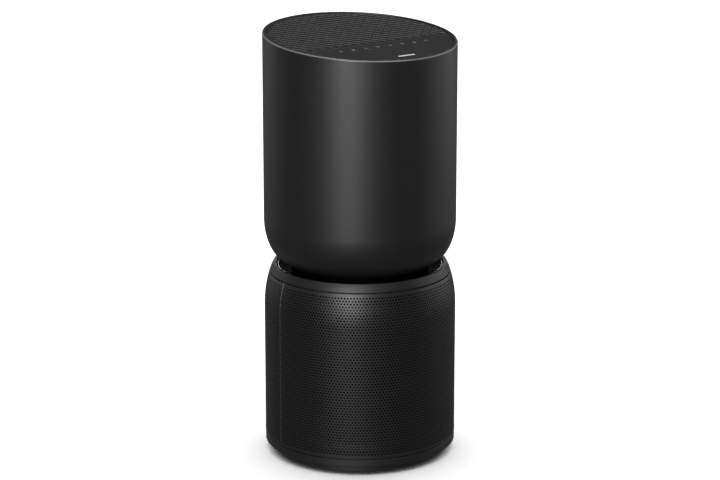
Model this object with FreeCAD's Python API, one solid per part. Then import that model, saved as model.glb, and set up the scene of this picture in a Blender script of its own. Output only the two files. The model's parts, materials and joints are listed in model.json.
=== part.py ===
"""Tower air purifier: two stacked round drums with a slanted top.

The lower drum is a perforated cage round a cylindrical filter, and its rear half pulls off.
The upper drum holds the fan and ends in a slanted disc: an outlet grille behind, touch keys
in front.  Millimetres, +Z up, the front faces -Y, and the origin is the centre of the foot.
Each piece is written to its own STEP file, named after the piece.
"""
import FreeCAD, Part
import math
import os

from FreeCAD import Placement, Rotation, Vector

# --- driving dimensions -----------------------------------------------------------------
DRUM_R = 110.0            # outer radius of both drums
BASE_R = 109.8            # base ring, a hair inside the cage
PLINTH_R = 97.7           # the foot, set back under the base ring
FOOT_BOTTOM = 0.8         # underside of the foot; the rubber ring stands 0.8 proud of it
BASE_BOTTOM = 10.5        # lower edge of the base ring
BASE_TOP = 18.4           # upper edge of the base ring and floor of the filter bay
FLOOR_R = 94.9            # the bay's floor plate lies inside the base ring
FLOOR_BOTTOM = 15.9
CAGE_BOTTOM = 19.4        # lower edge of the perforated cage
CAGE_SHOULDER = 172.2     # where the cage starts to curve in
CAGE_TOP = 212.0          # upper edge of the perforated cage
RING_BOTTOM = 213.0       # shoulder ring, above a 1 mm shadow gap
RING_TOP = 222.2
SHELL_BOTTOM = 225.2      # underside of the upper drum
SHELL_STRAIGHT = 274.7    # where the upper drum becomes a plain cylinder
TOP_CENTRE = 484.3        # height of the slanted top on the axis
TOP_TILT = 4.9            # degrees; the front edge is the low one

SHOULDER_RX = 31.8        # the cage's shoulder is a quarter ellipse, this wide
SHOULDER_RZ = 68.1        # and this tall
BOWL_RX = 28.8            # the upper drum's lower edge is a quarter ellipse, this wide
BOWL_RZ = 49.5            # and this tall
CAGE_WALL = 2.1
SHELL_WALL = 2.5
SEAM = 0.5                # gap between the cage's two halves

FILTER_R = 88.0
FILTER_BORE = 55.0
FILTER_BOTTOM = 21.7
FILTER_TOP = 191.4
CAP_PLATE = 2.5           # thickness of the filter's end caps
MEDIA_BOTTOM = FILTER_BOTTOM + CAP_PLATE
MEDIA_TOP = FILTER_TOP - CAP_PLATE

DECK_BOTTOM = 194.0
DECK_TOP = 197.5
DECK_R = 104.0
INLET_R = 62.0            # bore of the air inlet through the deck
NECK_R = 78.0
NECK_BORE = 72.0

PILLAR_IN = 93.5
PILLAR_OUT = 104.5
PILLAR_W = 16.0
PILLAR_ANGLES = (0.0, 180.0, 270.0)
CATCH_HEIGHTS = (62.0, 150.0)   # of the clips and magnets that hold the cage

CASING_R = 94.0           # fan casing
CASING_BORE = 91.5
CASING_TOP = 352.0
IMPELLER_R = 86.0
IMPELLER_EYE = 63.0
IMPELLER_BOTTOM = 243.0
IMPELLER_TOP = 292.0
BLADES = 11
VANES = 9
SHAFT_R = 3.0
SHAFT_BOTTOM = 272.0
SHAFT_TOP = 341.0
HUB_R = 45.0
HUB_FLOOR = 300.0
HUB_TOP = 343.0
MOTOR_BOTTOM = 305.0
MOTOR_TOP = 337.0
MOTOR_R = 26.0
MOTOR_BORE = 22.9         # the wound ring fills this bore of the can
BEARING_R = 7.5
BEARING_T = 4.0
BEARING_BORE = SHAFT_R + 0.03

DUCT_R = 104.2            # outlet duct, D-shaped in plan
DUCT_WALL = 1.6
DUCT_FRONT = -32.0        # front face of the duct's flat wall
PLENUM_TOP = 385.0        # the duct is round up to here and D-shaped above
SPLIT_Y = -33.7           # straight joint between grille and touch panel
DISC_R = 105.3            # the grille and the panel fill this radius inside the rim
RIM_BORE = 105.8
RIM_DEPTH = 4.0
DISC_DROP = 0.8           # the disc lies this far below the rim
DISC_T = 2.5
LATTICE_R = 102.3
LATTICE_DEPTH = 7.8
LATTICE_X = 11.8          # one diamond of the outlet grille, side to side
LATTICE_Y = 13.2          # and front to back
RIB = 2.0

KEYS = 8                  # touch keys in one row
KEY_PITCH = 16.5
KEY_Y = -46.9
KEY_R = 2.6

INLET_Y = 106.0           # mouth of the power inlet
INLET_Z = 9.05
INLET_BACK = 86.0
INLET_HALF_W = 13.0
INLET_HALF_H = 5.85
SLOT_HALF_H = 4.1         # figure-of-eight socket: 16.2 wide, 8.2 high
SLOT_HALF_W = 8.1
SLOT_DEPTH = 12.0
PIN_R = 1.2
PIN_PITCH = 8.6
PIN_REACH = 9.5

SCREW_R = 1.5
SCREW_HEAD_R = 2.8
SCREW_HEAD_T = 2.0
HOLE_R = 1.6

Z_AXIS = Vector(0, 0, 1)


# --- basic shapes -----------------------------------------------------------------------
def disc(radius, bottom, top, x=0.0, y=0.0):
    """Upright solid cylinder."""
    return Part.makeCylinder(radius, top - bottom, Vector(x, y, bottom))


def ring(inner, outer, bottom, top):
    """Upright tube about the axis."""
    return disc(outer, bottom, top).cut(disc(inner, bottom - 1, top + 1))


def block(x0, x1, y0, y1, z0, z1):
    """Box between two corners."""
    return Part.makeBox(x1 - x0, y1 - y0, z1 - z0, Vector(x0, y0, z0))


def turned(shape, degrees):
    """Copy of a shape turned about the axis."""
    copy = shape.copy()
    copy.rotate(Vector(0, 0, 0), Z_AXIS, degrees)
    return copy


def around(shape, angles):
    """Copies of a shape at each angle about the axis."""
    return [turned(shape, angle) for angle in angles]


def even(count, start=0.0):
    """Evenly spaced angles in degrees."""
    return [start + index * 360.0 / count for index in range(count)]


def line(start, end):
    """Edge in the XZ plane between two (radius, height) points."""
    return Part.makeLine(Vector(start[0], 0, start[1]), Vector(end[0], 0, end[1]))


def polyline(points):
    """Edges through (radius, height) points."""
    return [line(a, b) for a, b in zip(points, points[1:])]


def upright_ellipse(centre_r, centre_z, half_w, half_h, start, end):
    """Arc of an upright ellipse; angles in degrees from the outside (0) to the top (90)."""
    centre = Vector(centre_r, 0, centre_z)
    ellipse = Part.Ellipse(centre + Vector(0, 0, half_h), centre + Vector(half_w, 0, 0), centre)
    points = []
    for angle in (start, end):
        turn = math.radians(angle)
        points.append(centre + Vector(half_w * math.cos(turn), 0, half_h * math.sin(turn)))
    first, last = (ellipse.parameter(point) for point in points)
    if first > last:
        first, last = last, first
    return Part.ArcOfEllipse(ellipse, first, last).toShape()


def lathe(edges, sweep=360.0):
    """Solid of revolution from the closed outline that the edges make."""
    outline = Part.Wire(Part.__sortEdges__(edges))
    return Part.Face(outline).revolve(Vector(0, 0, 0), Z_AXIS, sweep)


def lathe_points(points):
    """Solid of revolution from a closed list of (radius, height) points."""
    return lathe(polyline(list(points) + [points[0]]))


def prism(points, bottom, top):
    """Upright prism from (x, y) points."""
    corners = [Vector(x, y, bottom) for x, y in points]
    face = Part.Face(Part.makePolygon(corners + [corners[0]]))
    return face.extrude(Vector(0, 0, top - bottom))


def joined(shapes):
    """One solid from overlapping shapes."""
    first, *others = shapes
    return first.fuse(others).removeSplitter() if others else first


def holes_cut(shape, tools):
    """Shape less every tool."""
    return shape.cut(Part.makeCompound(tools))


# --- parts of the slanted top are cut from slabs parallel to it ---------------------------
def slab(depth_top, depth_bottom):
    """Wide slab under the slanted top, between two depths below it."""
    reach = 2.0 * DRUM_R
    body = block(-reach, reach, -reach, reach, -depth_bottom, -depth_top)
    body.Placement = Placement(Vector(0, 0, TOP_CENTRE), Rotation(Vector(1, 0, 0), TOP_TILT))
    return body


def slanted(shape, depth_top, depth_bottom):
    """The stretch of an upright shape that lies between two depths below the top."""
    return shape.common(slab(depth_top, depth_bottom))


def tall(radius):
    """Cylinder that spans every height the slanted top reaches."""
    return disc(radius, TOP_CENTRE - 60, TOP_CENTRE + 30)


def tall_block(x0, x1, y0, y1):
    """Box that spans every height the slanted top reaches."""
    return block(x0, x1, y0, y1, TOP_CENTRE - 60, TOP_CENTRE + 30)


def top_height(y):
    """Height of the slanted top at a given y."""
    return TOP_CENTRE + y * math.tan(math.radians(TOP_TILT))


# --- fasteners --------------------------------------------------------------------------
def screw(x, y, seat, length, up=True):
    """Pan-head screw: its head rests on the height `seat`, and its shank goes up or down."""
    if up:
        head = disc(SCREW_HEAD_R, seat - SCREW_HEAD_T, seat, x, y)
        shank = disc(SCREW_R, seat, seat + length, x, y)
    else:
        head = disc(SCREW_HEAD_R, seat, seat + SCREW_HEAD_T, x, y)
        shank = disc(SCREW_R, seat - length, seat, x, y)
    return joined([head, shank])


def polar(radius, degrees):
    """(x, y) of a point at a radius and an angle."""
    turn = math.radians(degrees)
    return radius * math.cos(turn), radius * math.sin(turn)


BASE_SCREW_SPOTS = [polar(75.0, angle) for angle in even(4, 45.0)]
PILLAR_SCREW_SPOTS = [polar(102.0, angle) for angle in PILLAR_ANGLES]
NECK_SCREW_SPOTS = [polar(75.0, angle) for angle in even(4, 45.0)]
FRAME_SCREW_SPOTS = [polar(103.0, angle) for angle in (207.0, 245.0, 295.0, 333.0)]
MOTOR_SCREW_SPOTS = [polar(20.0, angle) for angle in even(3, 90.0)]
BASE_SEAT = 2.9           # seat of the screws sunk into the foot
DECK_SEAT = 196.4         # seat of the screws sunk into the deck from below
BOSS_R = 4.6


# --- base -------------------------------------------------------------------------------
def inlet_bay():
    """Room that the foot and the base ring leave for the power inlet."""
    margin = 0.2
    return block(-INLET_HALF_W - margin, INLET_HALF_W + margin, INLET_BACK - margin, DRUM_R + 2,
                 INLET_Z - INLET_HALF_H - margin, INLET_Z + INLET_HALF_H + margin)


def rubber_foot():
    """Rubber ring that the whole unit stands on."""
    return ring(82.0, 92.0, 0.0, 2.6)


def foot_plinth():
    """Shallow pan that closes the base from below."""
    floor_top = 4.4
    wall = 2.5
    pan = disc(PLINTH_R, FOOT_BOTTOM, BASE_BOTTOM)
    pan = pan.cut(disc(PLINTH_R - wall, floor_top, BASE_BOTTOM + 1))
    posts = [disc(3.5, floor_top - 0.5, 7.5, x, y) for x in (-52, 52) for y in (-36, 36)]
    pan = joined([pan] + posts)
    cuts = [ring(82.0, 92.0, FOOT_BOTTOM - 1, 2.6), inlet_bay()]
    for x, y in BASE_SCREW_SPOTS:
        cuts.append(disc(HOLE_R, FOOT_BOTTOM - 1, floor_top + 1, x, y))
        cuts.append(disc(SCREW_HEAD_R + 0.4, FOOT_BOTTOM - 1, BASE_SEAT, x, y))
    return holes_cut(pan, cuts)


def base_ring():
    """Base ring, with a ledge for the bay's floor and a front rim that locates the cage."""
    body = disc(BASE_R, BASE_BOTTOM, BASE_TOP)
    outer_edges = [item for item in body.Edges if len(item.Vertexes) == 1]
    body = body.makeChamfer(0.6, outer_edges)
    body = body.cut(disc(FLOOR_R + 0.3, BASE_BOTTOM - 1, BASE_TOP + 1))
    body = body.cut(ring(98.7, 107.3, BASE_BOTTOM - 1, FLOOR_BOTTOM))
    ledge = ring(FLOOR_R - 3.0, FLOOR_R + 0.8, FLOOR_BOTTOM - 2.0, FLOOR_BOTTOM)
    front_half = block(-DRUM_R, DRUM_R, -DRUM_R, -2, 0, 30)
    rim = ring(104.9, 107.4, BASE_TOP - 0.5, 23.0).common(front_half)
    body = joined([body, ledge, rim])
    cuts = [inlet_bay()]
    cuts += [disc(HOLE_R, 0, BASE_TOP + 1, x, y) for x, y in PILLAR_SCREW_SPOTS]
    return holes_cut(body, cuts)


def bay_floor():
    """Floor of the filter bay, with a screw boss over each screw of the foot."""
    plate = disc(FLOOR_R, FLOOR_BOTTOM, BASE_TOP)
    bosses = [disc(BOSS_R, 4.4, FLOOR_BOTTOM + 0.5, x, y) for x, y in BASE_SCREW_SPOTS]
    return holes_cut(joined([plate] + bosses),
                     [disc(HOLE_R, 0, 13.0, x, y) for x, y in BASE_SCREW_SPOTS])


def filter_rails():
    """Two low rails that the filter slides on."""
    return [block(x - 4, x + 4, -70, 62, BASE_TOP, 21.4) for x in (-50, 50)]


def power_board():
    """Mains board in the base, with its coil, capacitors and heat sink."""
    top = 9.1
    parts = [block(-60, 60, -44, 44, 7.5, top),
             block(-48, -20, -16, 14, top - 0.2, 15.2),
             block(20, 28, -30, 24, top - 0.2, 14.6),
             disc(6.0, top - 0.2, 15.0, 2, -20),
             disc(6.0, top - 0.2, 15.0, 2, 2),
             disc(4.0, top - 0.2, 14.0, 42, 20),
             block(-12, 12, 28, 40, top - 0.2, 14.0)]
    return joined(parts)


def power_inlet():
    """Housing of the two-pin mains socket, open to the rear."""
    body = block(-INLET_HALF_W, INLET_HALF_W, INLET_BACK, INLET_Y,
                 INLET_Z - INLET_HALF_H, INLET_Z + INLET_HALF_H)
    straight = SLOT_HALF_W - SLOT_HALF_H
    floor_y = INLET_Y - SLOT_DEPTH
    slot = [block(-straight, straight, floor_y, INLET_Y + 1,
                  INLET_Z - SLOT_HALF_H, INLET_Z + SLOT_HALF_H)]
    for x in (-straight, straight):
        slot.append(Part.makeCylinder(SLOT_HALF_H, SLOT_DEPTH + 1,
                                      Vector(x, floor_y, INLET_Z), Vector(0, 1, 0)))
    body = body.cut(joined(slot))
    return holes_cut(body, [pin.copy() for pin in inlet_pins()])


def inlet_pins():
    """Two contact pins of the mains socket."""
    length = INLET_Y - SLOT_DEPTH + PIN_REACH - INLET_BACK
    return [Part.makeCylinder(PIN_R, length, Vector(x, INLET_BACK, INLET_Z), Vector(0, 1, 0))
            for x in (-PIN_PITCH / 2, PIN_PITCH / 2)]


def base_screws():
    """Four screws that hold the foot to the bay's floor."""
    return [screw(x, y, BASE_SEAT, 9.0) for x, y in BASE_SCREW_SPOTS]


# --- filter bay -------------------------------------------------------------------------
def cage_outline():
    """Closed outline of the perforated cage's wall."""
    centre_r = DRUM_R - SHOULDER_RX
    rise = CAGE_TOP - CAGE_SHOULDER
    outer_end = math.degrees(math.asin(rise / SHOULDER_RZ))
    inner_w = SHOULDER_RX - CAGE_WALL
    inner_h = SHOULDER_RZ - CAGE_WALL
    inner_end = math.degrees(math.asin(rise / inner_h))
    outer = upright_ellipse(centre_r, CAGE_SHOULDER, SHOULDER_RX, SHOULDER_RZ, 0, outer_end)
    inner = upright_ellipse(centre_r, CAGE_SHOULDER, inner_w, inner_h, 0, inner_end)
    outer_top = centre_r + SHOULDER_RX * math.cos(math.radians(outer_end))
    inner_top = centre_r + inner_w * math.cos(math.radians(inner_end))
    bore = DRUM_R - CAGE_WALL
    return [outer, inner,
            line((inner_top, CAGE_TOP), (outer_top, CAGE_TOP)),
            line((DRUM_R, CAGE_SHOULDER), (DRUM_R, CAGE_BOTTOM)),
            line((DRUM_R, CAGE_BOTTOM), (bore, CAGE_BOTTOM)),
            line((bore, CAGE_BOTTOM), (bore, CAGE_SHOULDER))]


def half_cage(side):
    """Half of the cage: side +1 is the rear half and -1 the front half."""
    half = lathe(cage_outline(), 180.0 * side)
    return half.cut(block(-2 * DRUM_R, 2 * DRUM_R, -SEAM / 2, SEAM / 2, 0, CAGE_TOP + 1))


def front_grille():
    """Fixed front half of the cage."""
    return half_cage(-1)


def rear_cover():
    """Rear half of the cage, which pulls off to reach the filter."""
    return half_cage(1)


def pillars():
    """Three posts between the base and the fan deck."""
    post = block(PILLAR_IN, PILLAR_OUT, -PILLAR_W / 2, PILLAR_W / 2, BASE_TOP, DECK_BOTTOM)
    upright = [item for item in post.Edges if abs(item.tangentAt(item.FirstParameter).z) > 0.9]
    post = post.makeFillet(2.0, upright)
    depth = 14.0
    bores = [disc(HOLE_R, BASE_TOP - 1, BASE_TOP + depth, 102.0),
             disc(HOLE_R, DECK_BOTTOM - depth, DECK_BOTTOM + 1, 102.0)]
    return around(holes_cut(post, bores), PILLAR_ANGLES)


def pillar_screws():
    """Screws at the foot and the head of each post."""
    below = [screw(x, y, 15.9, 12.0) for x, y in PILLAR_SCREW_SPOTS]
    above = [screw(x, y, DECK_TOP, 12.0, up=False) for x, y in PILLAR_SCREW_SPOTS]
    return below + above


def side_blocks(inner, outer, y0, y1, half_height):
    """Small blocks beside both side posts at the two catch heights."""
    blocks = []
    for height in CATCH_HEIGHTS:
        shape = block(inner, DRUM_R, y0, y1, height - half_height, height + half_height)
        shape = shape.common(disc(outer, 0, CAGE_TOP))
        blocks.append(shape)
        blocks.append(shape.mirror(Vector(0, 0, 0), Vector(1, 0, 0)))
    return blocks


def grille_clips():
    """Four clips that hold the front grille to the side posts."""
    return side_blocks(PILLAR_OUT, DRUM_R - CAGE_WALL, -7.0, -2.0, 8.0)


def strike_plates():
    """Four thin steel plates on the side posts, under the cover's magnets."""
    outside = PILLAR_OUT + 0.5
    plates = []
    for height in CATCH_HEIGHTS:
        for low, high in ((-outside, -PILLAR_OUT), (PILLAR_OUT, outside)):
            plates.append(block(low, high, 1.0, 7.0, height - 8.0, height + 8.0))
    return plates


def cover_magnets():
    """Four magnets inside the rear cover, beside its seams."""
    return side_blocks(PILLAR_OUT + 0.8, DRUM_R - CAGE_WALL, 1.5, 7.0, 6.0)


# --- filter cartridge -------------------------------------------------------------------
def cap(plate_bottom, plate_top, lip_bottom, lip_top):
    """Ring-shaped end cap with an outer and an inner lip."""
    lip = 2.0
    return joined([ring(FILTER_BORE, FILTER_R, plate_bottom, plate_top),
                   ring(FILTER_R - lip, FILTER_R, lip_bottom, lip_top),
                   ring(FILTER_BORE, FILTER_BORE + lip, lip_bottom, lip_top)])


def filter_bottom_cap():
    """Lower end cap of the filter."""
    return cap(FILTER_BOTTOM, MEDIA_BOTTOM, MEDIA_BOTTOM - 0.5, MEDIA_BOTTOM + 6)


def filter_top_cap():
    """Upper end cap of the filter."""
    return cap(MEDIA_TOP, FILTER_TOP, MEDIA_TOP - 6, MEDIA_TOP + 0.5)


def filter_gasket():
    """Foam ring that seals the filter against the fan deck."""
    return ring(64.0, 70.0, FILTER_TOP, DECK_BOTTOM - 0.4)


def inner_cage():
    """Stiff net tube on the inside of the filter."""
    return ring(57.2, 58.4, MEDIA_BOTTOM, MEDIA_TOP)


def carbon_layer():
    """Carbon granules between the inner tube and the pleats."""
    return ring(58.6, 66.0, MEDIA_BOTTOM, MEDIA_TOP)


def pleat_points(outer, inner, pleats):
    """Corners of a star: one outer and one inner corner for each pleat."""
    points = []
    for angle in even(pleats):
        points.append(polar(outer, angle))
        points.append(polar(inner, angle + 180.0 / pleats))
    return points


def pleated_media():
    """Pleated filter paper."""
    pleats = 60
    thickness = 3.4                     # measured along the radius
    outer, inner = 84.9, 66.3 + thickness
    band = prism(pleat_points(outer, inner, pleats), MEDIA_BOTTOM, MEDIA_TOP)
    core = prism(pleat_points(outer - thickness, inner - thickness, pleats),
                 MEDIA_BOTTOM - 1, MEDIA_TOP + 1)
    return band.cut(core)


def prefilter_net():
    """Washable net round the pleats."""
    return ring(85.1, 85.8, MEDIA_BOTTOM, MEDIA_TOP)


def filter_pull_tab():
    """Ribbon on the rear of the filter to pull it out by."""
    band = ring(FILTER_R + 0.05, FILTER_R + 1.2, 118.0, FILTER_TOP)
    return band.common(block(-9, 9, 0, DRUM_R, 0, CAGE_TOP))


# --- fan deck, shoulder ring and neck ---------------------------------------------------
def fan_deck():
    """Floor of the fan with the air inlet in its middle and the wall under the shoulder ring."""
    posts = [disc(3.0, DECK_TOP - 0.5, 209.0, *polar(87.0, angle)) for angle in even(6, 30.0)]
    body = joined([ring(INLET_R, DECK_R, DECK_BOTTOM, DECK_TOP),
                   ring(97.0, 100.0, DECK_TOP - 0.5, RING_BOTTOM),
                   ring(INLET_R, INLET_R + 3, DECK_TOP - 0.5, 226.4),
                   ring(INLET_R - 2, INLET_R + 0.5, DECK_BOTTOM, DECK_TOP)] + posts)
    cuts = []
    for x, y in PILLAR_SCREW_SPOTS:
        cuts.append(disc(HOLE_R, DECK_BOTTOM - 1, DECK_TOP + 1, x, y))
        cuts.append(disc(SCREW_HEAD_R + 0.3, DECK_TOP, DECK_TOP + 5, x, y))
    for x, y in NECK_SCREW_SPOTS:
        cuts.append(disc(HOLE_R, DECK_BOTTOM - 1, DECK_TOP + 1, x, y))
        cuts.append(disc(SCREW_HEAD_R + 0.3, DECK_BOTTOM - 1, DECK_SEAT, x, y))
    return holes_cut(body, cuts)


def dust_sensor():
    """Particle sensor under the deck, in the incoming air."""
    body = block(91.5, 103.0, -18, 18, 158.0, DECK_BOTTOM)
    body = body.cut(block(90, 97, -6, 2, 164, 172))
    return turned(body, 300.0)


def shoulder_angle(height):
    """Angle on the shoulder ellipse at a height."""
    return math.degrees(math.asin((height - CAGE_SHOULDER) / SHOULDER_RZ))


def shoulder_radius(height):
    """Radius of the shoulder ellipse at a height."""
    turn = math.radians(shoulder_angle(height))
    return DRUM_R - SHOULDER_RX + SHOULDER_RX * math.cos(turn)


def shoulder_ring():
    """Smooth ring that carries the shoulder's curve on above the cage."""
    low, high = shoulder_radius(RING_BOTTOM), shoulder_radius(RING_TOP)
    curve = upright_ellipse(DRUM_R - SHOULDER_RX, CAGE_SHOULDER, SHOULDER_RX, SHOULDER_RZ,
                            shoulder_angle(RING_BOTTOM), shoulder_angle(RING_TOP))
    inside = [(high, RING_TOP), (96.8, RING_TOP), (96.0, RING_TOP - 0.8), (96.0, 214.5),
              (93.0, 214.5), (93.0, RING_BOTTOM), (low, RING_BOTTOM)]
    return lathe([curve] + polyline(inside))


def light_ring():
    """Dished clear ring that glows round the neck."""
    dish = Part.Arc(Vector(95.9, 0, 220.6), Vector(90.0, 0, 217.2), Vector(78.3, 0, 216.2))
    rest = [(78.3, 216.2), (78.3, 214.5), (95.9, 214.5), (95.9, 220.6)]
    return lathe([dish.toShape()] + polyline(rest))


def led_board():
    """Ring-shaped board with the lamps under the light ring."""
    board = ring(79.5, 96.5, 209.0, 210.6)
    lamps = around(block(85.5, 88.5, -1.5, 1.5, 210.4, 212.2), even(24, 7.5))
    return joined([board] + lamps)


def neck_collar():
    """Tube that joins the two drums."""
    body = ring(NECK_BORE, NECK_R, DECK_TOP, SHELL_BOTTOM)
    bores = []
    for x, y in NECK_SCREW_SPOTS:
        bores.append(disc(HOLE_R, DECK_TOP - 1, DECK_TOP + 11, x, y))
        bores.append(disc(HOLE_R, SHELL_BOTTOM - 11, SHELL_BOTTOM + 1, x, y))
    return holes_cut(body, bores)


def neck_screws():
    """Screws that hold the collar to the deck below and to the upper drum above."""
    plate_top = SHELL_BOTTOM + SHELL_WALL
    below = [screw(x, y, DECK_SEAT, 10.0) for x, y in NECK_SCREW_SPOTS]
    above = [screw(x, y, plate_top, 11.0, up=False) for x, y in NECK_SCREW_SPOTS]
    return below + above


def inlet_guard():
    """Finger guard of rings and spokes across the air inlet."""
    low, high = DECK_TOP, DECK_TOP + 2.5
    rings = [ring(radius - 1, radius + 1, low, high) for radius in (18.0, 32.0, 46.0)]
    rim = ring(INLET_R - 2.4, INLET_R - 0.1, low, high)
    spoke = block(17.5, INLET_R - 1.0, -1.0, 1.0, low, high)
    return joined([rim] + rings + around(spoke, even(8)))


# --- fan --------------------------------------------------------------------------------
def curved_blade(inner, outer, sweep, thickness, bottom, top):
    """Upright blade, bent along an arc from the inner to the outer radius."""
    edges = []
    ends = []
    for shift in (0.0, thickness):
        offset = math.degrees(shift / inner)
        a = polar(inner, offset)
        b = polar((inner + outer) / 2, sweep * 0.34 + math.degrees(shift / ((inner + outer) / 2)))
        c = polar(outer, sweep + math.degrees(shift / outer))
        arc = Part.Arc(*(Vector(x, y, bottom) for x, y in (a, b, c)))
        edges.append(arc.toShape())
        ends.append((Vector(*a, bottom), Vector(*c, bottom)))
    edges.append(Part.makeLine(ends[0][0], ends[1][0]))
    edges.append(Part.makeLine(ends[0][1], ends[1][1]))
    face = Part.Face(Part.Wire(Part.__sortEdges__(edges)))
    return face.extrude(Vector(0, 0, top - bottom))


def bellmouth():
    """Cone that leads the air into the impeller's eye."""
    foot = SHELL_BOTTOM + SHELL_WALL
    return lathe_points([(66.2, foot), (71.8, foot), (71.8, foot + 1.8), (66.6, foot + 1.8),
                         (61.4, 241.0), (59.6, 241.0), (65.0, foot + 1.2)])


def impeller():
    """Centrifugal wheel: shroud, back plate, hub and curved blades."""
    shroud = ring(IMPELLER_EYE, IMPELLER_R, IMPELLER_BOTTOM, IMPELLER_BOTTOM + 2)
    eye = ring(IMPELLER_EYE, IMPELLER_EYE + 2, IMPELLER_BOTTOM - 3, IMPELLER_BOTTOM + 1)
    back = disc(IMPELLER_R, IMPELLER_TOP - 2, IMPELLER_TOP)
    hub = disc(9.0, 280.0, 297.0)
    blade = curved_blade(IMPELLER_EYE + 0.5, IMPELLER_R - 1, 28.0, 1.8,
                         IMPELLER_BOTTOM + 1.5, IMPELLER_TOP - 1.5)
    wheel = joined([shroud, eye, back, hub] + around(blade, even(BLADES)))
    return wheel.cut(disc(SHAFT_R, 270, 310))


def impeller_nut():
    """Hexagonal nut under the impeller's hub."""
    corners = [polar(6.0, angle) for angle in even(6)]
    return prism(corners, 275.0, 280.0).cut(disc(SHAFT_R, 270, 290))


def motor_shaft():
    """Shaft through the motor and the impeller."""
    return disc(SHAFT_R, SHAFT_BOTTOM, SHAFT_TOP)


def motor_bearings():
    """Two bearings, one in each end of the motor."""
    return [ring(BEARING_BORE, BEARING_R, MOTOR_BOTTOM, MOTOR_BOTTOM + BEARING_T),
            ring(BEARING_BORE, BEARING_R, MOTOR_TOP - BEARING_T, MOTOR_TOP)]


def motor_rotor():
    """Magnet rotor on the shaft."""
    return ring(SHAFT_R, 11.0, 311.0, 331.0)


def motor_stator():
    """Wound ring with nine teeth round the rotor."""
    teeth = around(block(11.6, 19.0, -2.2, 2.2, 312.0, 330.0), even(9))
    body = joined([ring(18.0, MOTOR_BORE, 312.0, 330.0)] + teeth)
    return body.cut(disc(11.6, 300, 340))


def motor_housing():
    """Can of the motor, with a seat for each bearing."""
    body = disc(MOTOR_R, MOTOR_BOTTOM, MOTOR_TOP)
    cavity = disc(MOTOR_BORE, MOTOR_BOTTOM + BEARING_T, MOTOR_TOP - BEARING_T)
    screw_bores = [disc(HOLE_R, MOTOR_BOTTOM - 1, MOTOR_BOTTOM + 3.0, x, y)
                   for x, y in MOTOR_SCREW_SPOTS]
    return holes_cut(body, [cavity, disc(BEARING_R, MOTOR_BOTTOM - 1, MOTOR_TOP + 1)]
                     + screw_bores)


def motor_board():
    """Driver board on top of the motor."""
    return joined([ring(9.0, 24.0, MOTOR_TOP, MOTOR_TOP + 1.6),
                   block(12, 19, -3, 3, MOTOR_TOP + 1.4, MOTOR_TOP + 3.6),
                   block(-18, -12, -4, 2, MOTOR_TOP + 1.4, MOTOR_TOP + 3.0)])


def motor_dampers():
    """Three rubber washers under the motor."""
    floor_top = HUB_FLOOR + 2.5
    return [disc(5.0, floor_top, MOTOR_BOTTOM, x, y).cut(disc(HOLE_R, 290, 310, x, y))
            for x, y in MOTOR_SCREW_SPOTS]


def motor_screws():
    """Three screws that hold the motor to the diffuser's hub."""
    return [screw(x, y, HUB_FLOOR, 7.0) for x, y in MOTOR_SCREW_SPOTS]


def diffuser():
    """Fixed vanes round a hub cup that carries the motor."""
    cup = disc(HUB_R, HUB_FLOOR, HUB_TOP).cut(disc(HUB_R - 2.5, HUB_FLOOR + 2.5, HUB_TOP + 1))
    rim = ring(CASING_BORE - 2.5, CASING_BORE, 306.0, 350.0)
    vane = curved_blade(HUB_R - 1.0, CASING_BORE - 1.2, -34.0, 2.0, 308.0, HUB_TOP - 1)
    body = joined([cup, rim] + around(vane, even(VANES)))
    cuts = [disc(12.0, 290, 310)]
    cuts += [disc(HOLE_R, 290, 310, x, y) for x, y in MOTOR_SCREW_SPOTS]
    return holes_cut(body, cuts)


def hub_cap():
    """Rounded cap that closes the diffuser's hub."""
    crown = Part.Arc(Vector(HUB_R, 0, HUB_TOP + 1.5), Vector(30.0, 0, HUB_TOP + 5.5),
                     Vector(12.0, 0, HUB_TOP + 7.0))
    rest = [(12.0, HUB_TOP + 7), (0, HUB_TOP + 7), (0, HUB_TOP), (HUB_R, HUB_TOP),
            (HUB_R, HUB_TOP + 1.5)]
    return lathe([crown.toShape()] + polyline(rest))


def fan_casing():
    """Round wall about the fan, standing on the floor of the upper drum."""
    foot = SHELL_BOTTOM + SHELL_WALL
    return lathe_points([(78.3, foot), (81.2, foot), (CASING_R, 243.0), (CASING_R, CASING_TOP),
                         (CASING_BORE, CASING_TOP), (CASING_BORE, 244.2),
                         (80.2, foot + 2.6), (78.3, foot + 2.6)])


def outlet_duct():
    """Duct from the fan casing up to the outlet grille: round below, D-shaped above."""
    above = TOP_CENTRE + 40
    flange_top = CASING_TOP + 2.5
    front = DUCT_FRONT + DUCT_WALL
    outer = joined([disc(DUCT_R, CASING_TOP, PLENUM_TOP),
                    disc(DUCT_R, PLENUM_TOP - 1, above).common(
                        block(-DUCT_R, DUCT_R, DUCT_FRONT, DRUM_R, 0, above))])
    bore = DUCT_R - DUCT_WALL
    inner = joined([disc(CASING_BORE, CASING_TOP - 1, flange_top + 1),
                    disc(bore, flange_top, PLENUM_TOP - DUCT_WALL),
                    disc(bore, PLENUM_TOP - 5, above + 1).common(
                        block(-DUCT_R, DUCT_R, front, DRUM_R, 0, above + 1))])
    return outer.cut(slab(-60, DISC_DROP + DISC_T)).cut(inner)


# --- upper drum and slanted top ---------------------------------------------------------
def shell_boss(x, y):
    """Screw boss on the inside of the upper drum, under the top frame."""
    post = disc(BOSS_R, TOP_CENTRE - 60, TOP_CENTRE + 30, x, y)
    post = slanted(post, RIM_DEPTH + 3.0, 24.0)
    return post.common(disc(DRUM_R - 0.5, 0, TOP_CENTRE + 60))


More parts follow.
